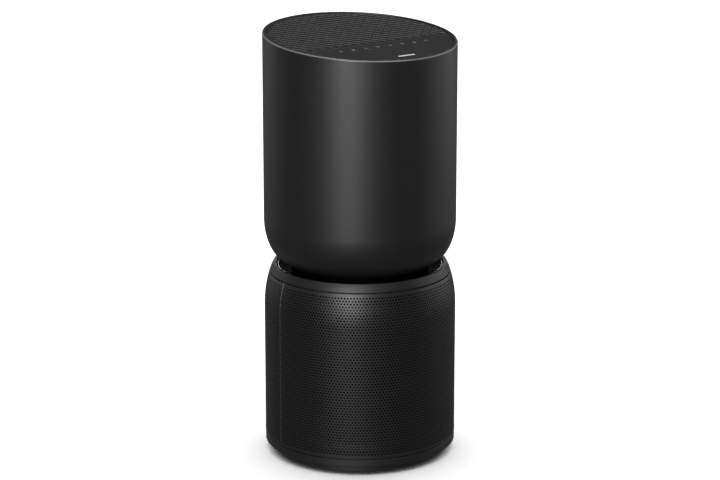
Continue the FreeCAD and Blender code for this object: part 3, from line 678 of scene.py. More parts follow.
def finish_piece(name: str, soup: Soup, slot: Slot, stands_for: Sequence[str],
                 sharp: float = 32.0, finish: Optional[Finish] = None) -> bpy.types.Object:
    """Make an object from points and faces, dress it, and fix it to its CAD body.

    Args:
        name: name of the piece.
        soup: its points and faces.
        slot: its material slot.
        stands_for: the CAD nodes that it replaces; it rides with the first one's body.
        sharp: edges that bend more than this many degrees stay sharp.
        finish: a finish of its own, where the slot's won't do.

    Returns:
        The new object.
    """
    mesh = bpy.data.meshes.new(name)
    mesh.from_pydata(soup.points, [], soup.faces)
    mesh.validate()
    mesh.materials.append(finish.material() if finish else slot.material)
    mesh.shade_smooth()
    mesh.set_sharp_from_angle(angle=math.radians(sharp))
    piece = bpy.data.objects.new(name, mesh)
    bpy.context.scene.collection.objects.link(piece)
    orient_outwards(mesh)
    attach(piece, body_of_node(stands_for[0]))
    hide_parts(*stands_for)
    LOG.info("%s: %d faces, in place of %s", name, len(mesh.polygons), ", ".join(stands_for))
    return piece


def orient_outwards(mesh: bpy.types.Mesh) -> None:
    """Turn all faces of a mesh to face outwards."""
    work = bmesh.new()
    work.from_mesh(mesh)
    bmesh.ops.recalc_face_normals(work, faces=work.faces[:])
    work.to_mesh(mesh)
    work.free()


def dress(nodes: Sequence[str], slot: Slot, bevel: float = 0.0,
          finish: Optional[Finish] = None) -> None:
    """Give CAD nodes their finish and, where it suits them, softened edges.

    Args:
        nodes: names of the nodes.
        slot: their material slot.
        bevel: width of the softened edges in metres, 0 for none.
        finish: a finish of their own, where the slot's won't do.
    """
    material = finish.material() if finish else slot.material
    for name in nodes:
        node = frame["nodes"][name]
        node.data.materials.clear()
        node.data.materials.append(material)
        if bevel > 0.0:
            soften = node.modifiers.new("edges", "BEVEL")
            soften.width = bevel
            soften.segments = 2
            soften.limit_method = "ANGLE"
            soften.angle_limit = math.radians(40)
            soften.harden_normals = False
        LOG.info("%s: kept, dressed as %s", name, material.name)


# ------------------------------------------------------------------------------------------
# The slanted top's plane
# ------------------------------------------------------------------------------------------
@dataclass(frozen=True)
class SlantedTop:
    """The plane that the rim, the grille and the touch panel lie along."""

    tilt: float = math.radians(4.9)
    rim_round: float = 1.2 * MM
    rim_width: float = 4.2 * MM
    disc_drop: float = 0.8 * MM

    @property
    def shell(self) -> Box:
        """Box of the upper shell."""
        return Box.of("upper_shell")

    @property
    def centre(self) -> float:
        """Height of the plane on the axis."""
        flat_edge = self.shell.radius - self.rim_round
        return self.shell.high.z - flat_edge * math.tan(self.tilt)

    def height(self, y: float, depth: float = 0.0) -> float:
        """Height of the plane at y, less a depth measured square to it."""
        return self.centre + y * math.tan(self.tilt) - depth / math.cos(self.tilt)


# ------------------------------------------------------------------------------------------
# Sub-assemblies
# ------------------------------------------------------------------------------------------
@dataclass
class UpperDrum:
    """Smooth outer skin of the upper drum, with its slanted rim."""

    top: SlantedTop
    bowl_width: float = 28.8 * MM
    bowl_height: float = 49.5 * MM
    wall: float = 2.5 * MM
    rim_depth: float = 4.0 * MM
    lip_round: float = 0.3 * MM
    opening: float = 66.0 * MM
    slope_height: float = 190.0 * MM

    def outline(self) -> list[Point2]:
        """Closed outline of the skin; heights at the rim count from the slanted plane."""
        box = self.top.shell
        radius, floor = box.radius, box.low.z
        bend_r, bend_z = radius - self.bowl_width, floor + self.bowl_height
        outer = arc_points((bend_r, bend_z), self.bowl_width, self.bowl_height, -90, 0, 28)
        inner = arc_points((bend_r, bend_z), self.bowl_width - self.wall,
                           self.bowl_height - self.wall, 0, -90, 20)
        rows = 12
        straight = [bend_z + (self.top.centre - 6 * MM - bend_z) * i / rows
                    for i in range(1, rows + 1)]
        edge = self.rim_lip(radius)
        bore = radius - self.wall
        down = [(bore, z) for z in reversed(straight)]
        return ([(self.opening, floor)] + outer + [(radius, z) for z in straight] + edge
                + down + inner + [(self.opening, floor + self.wall)])

    def rim_lip(self, radius: float) -> list[Point2]:
        """Seat of the painted-highlight edge, flat rim and inner lip of the slanted edge.

        Args:
            radius: outer radius of the drum.

        Returns:
            Points as (radius, height), with heights counted from the plane's centre.
        """
        plane = self.top.centre
        soft = self.top.rim_round
        lip = radius - self.top.rim_width
        turn = self.lip_round
        seat = [(radius, plane - soft), (radius - soft, plane - soft), (radius - soft, plane)]
        inner = arc_points((lip + turn, plane - turn), turn, turn, 90, 180, 3)
        return seat + inner + [(lip, plane - self.rim_depth),
                               (radius - self.wall, plane - self.rim_depth)]

    def painted_highlight_edge(self) -> list[Point2]:
        """Outline of the rim's outer rounding, smoother than the skin and painted lighter as a
        highlight.
        """
        radius, plane, soft = self.top.shell.radius, self.top.centre, self.top.rim_round
        return arc_points((radius - soft, plane - soft), soft, soft, 0, 90, 8) + [
            (radius - soft, plane - soft)]

    def height(self, y: float, z: float) -> float:
        """Slope grows from nothing low on the wall to its full value at the rim."""
        base = self.top.centre - self.slope_height
        share = (z - base) / (self.slope_height - self.rim_depth * 2)
        return z + y * math.tan(self.top.tilt) * min(1.0, max(0.0, share))

    def build(self) -> None:
        """Make the skin and its outer rim rounding, which carries a painted highlight."""
        finish_piece("drum_skin", lathe(self.outline(), self.height), Slot.SHELL,
                     ["upper_shell"], 40.0)
        finish_piece("drum_painted_highlight", lathe(self.painted_highlight_edge(), self.height), Slot.SHELL,
                     ["upper_shell"], 40.0, PAINTED_HIGHLIGHT_FINISH)


class Side(Enum):
    """The two halves of the cage: the angle each starts at, and the node it stands for."""

    REAR = (0.0, "rear_cover")
    FRONT = (math.pi, "front_grille")

    def __init__(self, start: float, node: str) -> None:
        """Keep the half's first angle and its CAD node."""
        self.start = start
        self.node = node


@dataclass
class Cage:
    """Perforated cage of the lower drum: a front half and a pull-off rear half."""

    columns: int = 94
    row_pitch: float = 3.198 * MM
    hole_radius: float = 1.16 * MM
    hole_sides: int = 10
    wall: float = 2.1 * MM
    first_row: float = 5.6 * MM
    top_margin: float = 4.4 * MM
    seam: float = 0.5 * MM
    lip: float = 0.35 * MM
    edge: float = 0.4 * MM
    lines: list[tuple[float, float]] = field(default_factory=list)
    rows: list[int] = field(default_factory=list)

    def __post_init__(self) -> None:
        """Measure the wall's profile and lay out the rows."""
        box = Box.of("front_grille")
        self.radius = box.radius
        self.bottom, self.top = box.low.z, box.high.z
        rise = self.top - SHOULDER_START
        turn = np.linspace(0.0, math.asin(rise / SHOULDER_HEIGHT), 400)
        r = self.radius - SHOULDER_WIDTH * (1 - np.cos(turn))
        z = SHOULDER_START + SHOULDER_HEIGHT * np.sin(turn)
        lengths = np.concatenate([[0.0], np.cumsum(np.hypot(np.diff(r), np.diff(z)))])
        straight = SHOULDER_START - self.bottom
        self.profile_s = np.concatenate([[0.0], straight + lengths])
        self.profile_r = np.concatenate([[self.radius], r])
        self.profile_z = np.concatenate([[self.bottom], z])
        self.length = float(self.profile_s[-1])
        self.lay_rows()

    def lay_rows(self) -> None:
        """Lines between rows as (distance up the wall, depth); `rows` lists the holed ones."""
        half = self.row_pitch / 2
        low = self.first_row - half
        count = int((self.length - self.top_margin - self.first_row) / self.row_pitch) + 1
        high = low + count * self.row_pitch
        self.lines = [(0.0, self.edge), (self.edge, 0.0), (low / 2, 0.0)]
        first = len(self.lines)
        self.lines += [(low + i * self.row_pitch, 0.0) for i in range(count + 1)]
        self.rows = list(range(first, first + count))
        rest = self.length - self.edge - high
        self.lines += [(high + rest / 2, 0.0), (self.length - self.edge, 0.0),
                       (self.length, self.edge)]

    def place(self, start: float, column: np.ndarray, s: np.ndarray,
              depth: np.ndarray) -> np.ndarray:
        """Points of the wall.

        Args:
            start: angle of the half's first seam.
            column: place round the half, in columns.
            s: distance up the wall.
            depth: depth below the outer face.

        Returns:
            One (x, y, z) row for each point.
        """
        margin = (self.seam / 2 + self.lip) / self.radius
        angle = start + margin + column * (math.pi - 2 * margin) / self.columns
        step = 0.05 * MM
        r, z = self.on_profile(s)
        r_up, z_up = self.on_profile(np.minimum(s + step, self.length))
        r_down, z_down = self.on_profile(np.maximum(s - step, 0.0))
        out_r, out_z = z_up - z_down, r_down - r_up
        size = np.hypot(out_r, out_z)
        r = r - depth * out_r / size
        z = np.clip(z - depth * out_z / size, self.bottom, self.top)
        return np.stack([r * np.cos(angle), r * np.sin(angle), z], axis=1)

    def on_profile(self, s: np.ndarray) -> tuple[np.ndarray, np.ndarray]:
        """Radius and height of the outer face at a distance up the wall."""
        return (np.interp(s, self.profile_s, self.profile_r),
                np.interp(s, self.profile_s, self.profile_z))

    def cell_template(self) -> tuple[list[Point2], list[Point2], list[tuple[int, int, int]]]:
        """One cell: its frame, its hole, and the triangles between them.

        Returns:
            Frame points as (half columns, lines), hole points as unit vectors, and triangles
            that number the frame's points first.
        """
        outer = [(2.0, 1.0), (1.0, 1.0), (0.0, 1.0), (0.0, 0.0), (1.0, 0.0), (2.0, 0.0)]
        sides = self.hole_sides
        hole = [(math.cos(math.tau * (i + 0.5) / sides), math.sin(math.tau * (i + 0.5) / sides))
                for i in range(sides)]
        aspect = self.row_pitch / (math.pi * self.radius / self.columns)
        outer_angle = [math.atan2((y - 0.5) * aspect, (x - 1.0) / 2.0) % math.tau
                       for x, y in outer]
        hole_angle = [math.atan2(y, x) % math.tau for x, y in hole]
        order = sorted(range(len(outer)), key=lambda i: outer_angle[i])
        outer = [outer[i] for i in order]
        outer_angle = [outer_angle[i] for i in order]
        return outer, hole, self.stitch(outer_angle, hole_angle)

    @staticmethod
    def stitch(outer: Sequence[float], inner: Sequence[float]) -> list[tuple[int, int, int]]:
        """Triangles between two rings whose points are sorted by angle.

        Args:
            outer: angles of the outer ring.
            inner: angles of the inner ring.

        Returns:
            Triangles; the inner ring's numbers follow the outer ring's.
        """
        a, b = len(outer), len(inner)
        i = j = 0
        triangles = []
        while i < a or j < b:
            next_outer = outer[(i + 1) % a] + (math.tau if i + 1 >= a else 0.0)
            next_inner = inner[(j + 1) % b] + (math.tau if j + 1 >= b else 0.0)
            if j >= b or (i < a and next_outer <= next_inner):
                triangles.append((i % a, (i + 1) % a, a + j % b))
                i += 1
            else:
                triangles.append((i % a, a + (j + 1) % b, a + j % b))
                j += 1
        return triangles

    def quarter(self, side: Side, left: bool) -> Soup:
        """Half of one side of the cage, with real holes through its wall.

        Args:
            side: front or rear.
            left: the first half of the columns, or the second.

        Returns:
            The points and faces.
        """
        steps = np.arange(-1, 2 * self.columns + 2) / 2.0
        steps[0] = -self.lip * self.columns / (math.pi * self.radius)
        steps[-1] = self.columns - steps[0]
        seam_depth = np.zeros(len(steps))
        seam_depth[[0, -1]] = self.lip
        half_columns = len(steps)
        middle = self.columns + 1
        cells, blanks = [], []
        for line in range(len(self.lines) - 1):
            if line in self.rows:
                odd = (line - self.rows[0]) % 2
                for start in range(1 + odd, 2 * self.columns, 2):
                    if (start + 1 < middle + odd) == left:
                        cells.append((start, line))
                blanks.append((0 if left else half_columns - 2, line))
                if odd:
                    blanks.append((1 if left else half_columns - 3, line))
            else:
                span = range(0, middle) if left else range(middle, half_columns - 1)
                blanks += [(start, line) for start in span]
        outer, hole, triangles = self.cell_template()
        line_s = np.array([s for s, _ in self.lines])
        line_depth = np.array([depth for _, depth in self.lines])
        grid_h, grid_l = np.meshgrid(np.arange(half_columns), np.arange(len(self.lines)))
        grid_h, grid_l = grid_h.ravel(), grid_l.ravel()
        lattice = len(grid_h)
        front = self.place(side.start, steps[grid_h], line_s[grid_l],
                           np.maximum(line_depth[grid_l], seam_depth[grid_h]))
        back = self.place(side.start, steps[grid_h], line_s[grid_l],
                          np.full(lattice, self.wall))
        cell = np.array(cells)
        unit = np.array(hole)
        hole_s = (line_s[cell[:, 1]] + self.row_pitch / 2)[:, None] + unit[:, 1] * self.hole_radius
        local_r = self.on_profile(line_s[cell[:, 1]] + self.row_pitch / 2)[0]
        width = math.pi * local_r / self.columns
        hole_c = (cell[:, 0] / 2.0)[:, None] + unit[:, 0] * self.hole_radius / width[:, None]
        rim_front = self.place(side.start, hole_c.ravel(), hole_s.ravel(),
                               np.zeros(hole_c.size))
        rim_back = self.place(side.start, hole_c.ravel(), hole_s.ravel(),
                              np.full(hole_c.size, self.wall))
        points = np.concatenate([front, back, rim_front, rim_back])
        rim0, rim1 = 2 * lattice, 2 * lattice + hole_c.size
        frame_id = np.stack([(cell[:, 1] + int(y)) * half_columns + cell[:, 0] + int(x)
                             for x, y in outer], axis=1)
        sides = self.hole_sides
        ring = np.arange(hole_c.size).reshape(-1, sides)
        ids = np.concatenate([frame_id, rim0 + ring], axis=1)
        ids_back = np.concatenate([frame_id + lattice, rim1 + ring], axis=1)
        tri = np.array(triangles)
        faces = ids[:, tri].reshape(-1, 3).tolist()
        faces += ids_back[:, tri[:, ::-1]].reshape(-1, 3).tolist()
        turned = np.roll(ring, -1, axis=1)
        walls = np.stack([rim0 + turned, rim0 + ring, rim1 + ring, rim1 + turned], axis=2)
        faces += walls.reshape(-1, 4).tolist()
        outer_faces = frame_id.tolist()
        for start, line in blanks:
            a = line * half_columns + start
            quad = [a, a + 1, a + 1 + half_columns, a + half_columns]
            outer_faces.append(quad)
            faces.append(quad)
            faces.append([i + lattice for i in reversed(quad)])
        faces += self.closing_walls(outer_faces, lattice)
        return self.packed(points, faces)

    @staticmethod
    def closing_walls(outlines: Sequence[Sequence[int]], shift: int) -> list[list[int]]:
        """Quads that close a sheet's edges, from the outer face to the inner one.

        Args:
            outlines: outline of each cell of the outer face.
            shift: what to add to an outer point's number to get the inner one's.

        Returns:
            The quads.
        """
        edges = set()
        for outline in outlines:
            for a, b in zip(outline, list(outline[1:]) + [outline[0]]):
                if (b, a) in edges:
                    edges.remove((b, a))
                else:
                    edges.add((a, b))
        return [[b, a, a + shift, b + shift] for a, b in sorted(edges)]

    @staticmethod
    def packed(points: np.ndarray, faces: list[list[int]]) -> Soup:
        """Drop the points that no face uses."""
        used = np.zeros(len(points), dtype=bool)
        used[np.fromiter((i for item in faces for i in item), dtype=np.int64)] = True
        number = np.cumsum(used) - 1
        kept = [tuple(point) for point in points[used].tolist()]
        return Soup(kept, [tuple(int(number[i]) for i in item) for item in faces])

    def build(self) -> None:
        """Make both halves, each in two pieces that meet without a joint."""
        for side in Side:
            for left in (True, False):
                name = f"cage_{side.name.lower()}_{'a' if left else 'b'}"
                finish_piece(name, self.quarter(side, left), Slot.CAGE, [side.node])


@dataclass
class Neck:
    """Shoulder ring, light ring, lamps and collar between the two drums."""

    shoulder_bore: float = 96.0 * MM
    shoulder_step: float = 3.0 * MM
    light_bore: float = 78.3 * MM
    light_floor: float = 1.7 * MM
    bead_inset: float = 1.6 * MM
    bead_radius: float = 0.6 * MM
    bead_depth: float = 2.0 * MM

    def shoulder_outline(self) -> list[Point2]:
        """Outline of the shoulder ring, with a raised inner lip."""
        box = Box.of("shoulder_ring")
        drum = Box.of("front_grille").radius
        low, high = box.low.z, box.high.z

        def angle(z: float) -> float:
            """Angle on the shoulder's ellipse at a height."""
            return math.degrees(math.asin((z - SHOULDER_START) / SHOULDER_HEIGHT))

        centre = (drum - SHOULDER_WIDTH, SHOULDER_START)
        curve = arc_points(centre, SHOULDER_WIDTH, SHOULDER_HEIGHT,
                           angle(low + 0.3 * MM), angle(high - 0.6 * MM), 10)
        bore = self.shoulder_bore
        foot = bore - self.shoulder_step
        top_r = curve[-1][0]
        rim = [(top_r - 0.25 * MM, high - 0.15 * MM), (top_r - 0.8 * MM, high),
               (bore + 1.4 * MM, high), (bore + 0.5 * MM, high - 0.1 * MM),
               (bore, high - 0.6 * MM)]
        inside = [(bore, low + 1.5 * MM), (foot, low + 1.5 * MM), (foot, low)]
        return [(curve[0][0] - 0.4 * MM, low)] + curve + rim + inside

    def light_outline(self) -> list[Point2]:
        """Outline of the dished light ring."""
        box = Box.of("light_ring")
        outer, inner = box.radius, self.light_bore
        low, high = box.low.z, box.high.z
        fall = high - low - self.light_floor
        dish = [(outer - (outer - inner) * t, high - fall * math.sin(t * math.pi / 2) ** 0.8)
                for t in np.linspace(0.02, 1.0, 18)]
        return [(outer, low), (outer, high - 0.3 * MM), (outer - 0.3 * MM, high)] + dish + [
            (inner, low)]

    def bead_outline(self) -> list[Point2]:
        """Outline of the thin polished bead just inside the light ring's edge."""
        box = Box.of("light_ring")
        size = self.bead_radius
        r, z = box.radius - self.bead_inset, box.high.z - size
        return arc_points((r, z), size, size, 0, 180, 10) + [
            (r - size, z - self.bead_depth), (r + size, z - self.bead_depth)]

    def build(self) -> None:
        """Make the rings and dress the rest."""
        finish_piece("shoulder_band", lathe(self.shoulder_outline()), Slot.RING,
                     ["shoulder_ring"], 28.0)
        finish_piece("glow_ring", lathe(self.light_outline()), Slot.LIGHT, ["light_ring"], 40.0)
        finish_piece("glow_bead", lathe(self.bead_outline()), Slot.LIGHT, ["light_ring"], 40.0,
                     GLINT_FINISH)
        # Painted shade: the collar is dressed near-black so the neck's gap reads dark.
        dress(["neck_collar"], Slot.STRUCTURE, finish=NECK_PAINTED_SHADE_FINISH)
        dress(["fan_deck"], Slot.STRUCTURE, 0.3 * MM)
        dress(["led_board"], Slot.BOARD)
        dress(["neck_screws"], Slot.STEEL)


@dataclass
class Base:
    """Foot, rubber ring, base ring and mains inlet."""

    def build(self) -> None:
        """Dress the base; its turned pieces already have the right shape."""
        dress(["foot_plinth", "base_ring"], Slot.RING, 0.25 * MM)
        dress(["bay_floor"], Slot.STRUCTURE, 0.25 * MM)
        dress(["rubber_foot"], Slot.RUBBER, 0.3 * MM)
        dress(["power_inlet"], Slot.INLET, 0.3 * MM)
        dress(["inlet_pins"], Slot.BRASS, 0.3 * MM)
        dress(["base_screws", "pillar_screws"], Slot.STEEL, 0.2 * MM)
        dress(["power_board"], Slot.BOARD)
        dress(["filter_rails", "pillars", "grille_clips"], Slot.STRUCTURE, 0.2 * MM)
        dress(["strike_plates"], Slot.STEEL)
        dress(["cover_magnets"], Slot.MAGNET, 0.2 * MM)


@dataclass
class FilterCartridge:
    """Cylindrical filter with its caps, net and pull ribbon."""

    threads: int = 120
    rows: int = 42
    weave: float = 0.35 * MM
    seam_half: float = 3.5 * MM
    net_thickness: float = 0.65 * MM
    ribbon_thickness: float = 0.55 * MM
    ribbon_bow: float = 0.5 * MM
    hem_height: float = 0.12 * MM

    def net(self) -> Soup:
        """Coarse net of crossing threads, with a flat overlap where its ends meet.

        Returns:
            A closed tube: the woven outside, and a plain inside.
        """
        box = Box.of("prefilter_net")
        around = np.linspace(0.0, math.tau, self.threads * 4, endpoint=False)
        up = np.linspace(0.0, 1.0, self.rows * 4 + 1)
        loops = []
        for share in up:
            wave = np.sin(around * self.threads) * math.sin(share * math.tau * self.rows)
            flat = np.abs((around - math.pi * 1.5) * box.radius) < self.seam_half
            radius = box.radius - self.weave / 2 * (1 - np.where(flat, 0.9, wave))
            z = box.low.z + share * (box.high.z - box.low.z)
            loops.append(np.stack([radius * np.cos(around), radius * np.sin(around),
                                   np.full_like(around, z)], axis=1).tolist())
        inside = box.radius - self.net_thickness
        for z in (box.high.z, box.low.z):
            loops.append(np.stack([inside * np.cos(around), inside * np.sin(around),
                                   np.full_like(around, z)], axis=1).tolist())
        soup = Soup()
        soup.tube(loops, closed=True)
        return soup

    def ribbon(self) -> Soup:
        """Pull ribbon that lies against the cap and the net, bowed a little outwards."""
        box = Box.of("filter_pull_tab")
        half = box.high.x - 0.2 * MM
        rows, columns = 40, 12
        faces_out, faces_in = [], []
        for i in range(rows + 1):
            share = i / rows
            z = box.low.z + share * (box.high.z - box.low.z)
            bow = self.ribbon_bow * math.sin(math.pi * share) ** 2
            line_out, line_in = [], []
            for j in range(columns + 1):
                x = half * (2 * j / columns - 1)
                hem = self.hem_height if j in (1, columns - 1) else 0.0
                y = math.sqrt((FILTER_RADIUS + 0.3 * MM) ** 2 - x * x) + bow
                line_out.append((x, y + self.ribbon_thickness + hem, z))
                line_in.append((x, y, z))
            faces_out.append(line_out)
            faces_in.append(line_in)
        soup = Soup()
        soup.tube([out + back[::-1] for out, back in zip(faces_out, faces_in)])
        for out, back in ((faces_out[0], faces_in[0]), (faces_out[-1], faces_in[-1])):
            points = out + back
            count = len(out)
            soup.add(points, [(i, i + 1, count + i + 1, count + i) for i in range(count - 1)])
        return soup

    def build(self) -> None:
        """Make the net and the ribbon, and dress the rest of the cartridge."""
        dress(["filter_bottom_cap", "filter_top_cap", "inner_cage"], Slot.CAP, 0.4 * MM)
        dress(["filter_gasket"], Slot.FOAM, 0.3 * MM)
        dress(["carbon_layer"], Slot.CARBON)
        dress(["pleated_media"], Slot.PAPER)
        finish_piece("filter_net", self.net(), Slot.NET, ["prefilter_net"], 80.0)
        finish_piece("pull_ribbon", self.ribbon(), Slot.RIBBON, ["filter_pull_tab"], 60.0)


@dataclass
class FanUnit:
    """Fan, motor, ducts and electronics inside the upper drum."""

    def build(self) -> None:
        """Dress the fan unit."""
        dress(["inlet_guard", "fan_casing", "outlet_duct", "top_frame"], Slot.STRUCTURE)
        dress(["bellmouth", "impeller", "diffuser", "hub_cap"], Slot.FAN)
        dress(["impeller_nut", "motor_screws", "frame_screws"], Slot.STEEL)
        dress(["motor_shaft", "motor_bearings"], Slot.SHAFT)
        dress(["motor_rotor"], Slot.MAGNET)
        dress(["motor_stator"], Slot.COPPER)
        dress(["motor_housing"], Slot.MOTOR, 0.4 * MM)
        dress(["motor_board", "touch_board", "control_board"], Slot.BOARD)
        dress(["motor_dampers"], Slot.RUBBER)
        dress(["dust_sensor"], Slot.SENSOR, 0.4 * MM)


@dataclass
class TopDisc:
    """Outlet grille and touch panel in the slanted top."""

    top: SlantedTop
    split: float = -33.7 * MM
    gap: float = 0.3 * MM
    plate: float = 2.5 * MM
    soft: float = 0.35 * MM
    lattice_radius: float = 101.9 * MM
    lattice_front: float = -29.8 * MM
    lattice_depth: float = 7.0 * MM
    diamond_x: float = 11.8 * MM
    diamond_y: float = 13.2 * MM
    rib: float = 2.7 * MM
    chamfer: float = 0.75 * MM
    least_opening: float = 6.0 * MM * MM

    @property
    def radius(self) -> float:
        """Radius of the disc, from the CAD grille."""
        return Box.of("top_grille").radius

    def segment(self, radius: float, low: float, high: float, steps: int = 160) -> Polygon:
        """A disc cut straight across at one or both sides, anticlockwise.

        Args:
            radius: radius of the disc.
            low: lowest y.
            high: highest y.
            steps: corners for a full circle.

        Returns:
            The outline.
        """
        disc = [(radius * math.cos(math.tau * i / steps), radius * math.sin(math.tau * i / steps))
                for i in range(steps)]
        far = 2 * radius
        return tidy(clipped(disc, [(-far, low), (far, low), (far, high), (-far, high)]),
                    0.2 * MM)

    def lift(self, shape: Polygon, depth: float) -> list[tuple[float, float, float]]:
        """Points of a flat shape at a depth below the slanted plane."""
        return [(x, y, self.top.height(y, self.top.disc_drop + depth)) for x, y in shape]

    def diamonds(self) -> list[Polygon]:
        """Openings of the lattice, cut back to the border."""
        side = math.hypot(self.diamond_x, self.diamond_y) / 2
        spacing = self.diamond_x * self.diamond_y / 2 / side
        scale = (spacing - self.rib) / spacing
        half_x, half_y = self.diamond_x / 2 * scale, self.diamond_y / 2 * scale
        region = self.segment(self.lattice_radius, self.lattice_front + 0.4 * MM, 1.0)
        found = []
        rows = int(2 * self.lattice_radius / self.diamond_y) + 1
        columns = int(self.lattice_radius / self.diamond_x) + 1
        for row in range(-rows, rows + 1):
            y = row * self.diamond_y / 2
            shift = (row % 2) * self.diamond_x / 2
            for column in range(-columns, columns + 1):
                x = column * self.diamond_x + shift
                shape = [(x + half_x, y), (x, y + half_y), (x - half_x, y), (x, y - half_y)]
                shape = tidy(clipped(shape, region), 0.25 * MM)
                if len(shape) > 2 and area(shape) > self.least_opening:
                    found.append(shape)
        return found

    def add_plate(self, soup: Soup, edges: Soup, outline: Polygon,
                  holes: Sequence[Polygon] = ()) -> None:
        """Flat plate with soft upper edges and chamfered holes.

        Args:
            soup: where the plate goes.
            edges: where its soft edges and chamfers go.
            outline: its outer edge, anticlockwise.
            holes: outlines of its holes.
        """
        inner = grown(outline, -self.soft)
        middle = grown(outline, -self.soft * 0.3)
        rims = [grown(hole, self.chamfer) for hole in holes]
        flat = [inner] + rims
        points = [point for loop in flat for point in self.lift(loop, 0.0)]
        loops = [[Vector((x, y, 0.0)) for x, y in loop] for loop in flat]
        soup.add(points, [tuple(item) for item in tessellate_polygon(loops)])
        edges.tube([self.lift(inner, 0.0), self.lift(middle, self.soft * 0.3),
                    self.lift(outline, self.soft)])
        soup.tube([self.lift(outline, self.soft), self.lift(outline, self.plate)])
        soup.add(self.lift(outline, self.plate), [tuple(reversed(range(len(outline))))])
        for hole, rim in zip(holes, rims):
            edges.tube([self.lift(rim, 0.0), self.lift(hole, self.chamfer)])
            soup.tube([self.lift(hole, self.chamfer), self.lift(hole, self.lattice_depth)])

    def build(self) -> None:
        """Make the grille, the panel and the marks printed on it."""
        grille, edges = Soup(), Soup()
        outline = self.segment(self.radius, self.split + self.gap, 1.0)
        self.add_plate(grille, edges, outline, self.diamonds())
        finish_piece("outlet_lattice", grille, Slot.GRILLE, ["top_grille"], 25.0)
        # Lighter finish on the grille's edges and chamfers: painted highlights.
        finish_piece("lattice_painted_edge_highlights", edges, Slot.GRILLE, ["top_grille"], 25.0, CHAMFER_PAINTED_HIGHLIGHT_FINISH)
        panel = Soup()
        self.add_plate(panel, panel, self.segment(self.radius, -1.0, self.split - self.gap))
        finish_piece("touch_panel", panel, Slot.PANEL, ["control_panel"], 25.0)
        marks = PanelMarks(self)
        finish_piece("key_marks", marks.keys(), Slot.ICON, ["touch_icons"])
        finish_piece("front_bar", marks.bar(), Slot.ICON, ["touch_icons"], finish=MARK_FINISH)


class Pictogram(Enum):
    """Plain pictures on the touch keys, as strokes inside a unit circle."""

    POWER = "power"
    MODE = "mode"
    SPEED = "speed"
    TIMER = "timer"
    NIGHT = "night"
    LIGHT = "light"
    LOCK = "lock"
    RESET = "reset"

    def strokes(self) -> list[list[Point2]]:
        """Centre lines of the picture's strokes."""
        circle = arc_points((0, 0), 0.8, 0.8, 0, 360, 20)
        drawn = {
            Pictogram.POWER: [arc_points((0, 0), 0.8, 0.8, 125, 415, 18), [(0, 0.1), (0, 1.0)]],
            Pictogram.MODE: [circle, arc_points((0, 0), 0.35, 0.35, 0, 360, 12)],
            Pictogram.SPEED: [arc_points((0.42 * math.cos(t), 0.42 * math.sin(t)), 0.4, 0.4,
                                         math.degrees(t) - 90, math.degrees(t) + 90, 8)
                              for t in (0.5, 2.6, 4.7)],
            Pictogram.TIMER: [circle, [(0, 0.5), (0, 0), (0.4, -0.15)]],
            Pictogram.NIGHT: [arc_points((0, 0), 0.8, 0.8, 75, 345, 16),
                              arc_points((0.35, 0.3), 0.6, 0.6, 110, 310, 12)],
            Pictogram.LIGHT: [arc_points((0, 0), 0.4, 0.4, 0, 360, 12)]
            + [[(0.65 * math.cos(t), 0.65 * math.sin(t)), (0.95 * math.cos(t),
                                                          0.95 * math.sin(t))]
               for t in (0.0, 1.05, 2.09, 3.14, 4.19, 5.24)],
            Pictogram.LOCK: [[(-0.6, -0.8), (0.6, -0.8), (0.6, 0.1), (-0.6, 0.1), (-0.6, -0.8)],
                             arc_points((0, 0.1), 0.4, 0.7, 0, 180, 10)],
            Pictogram.RESET: [arc_points((0, 0), 0.8, 0.8, 40, 330, 16),
                              [(0.3, 0.55), (0.65, 0.5), (0.7, 0.9)]],
        }
        return drawn[self]


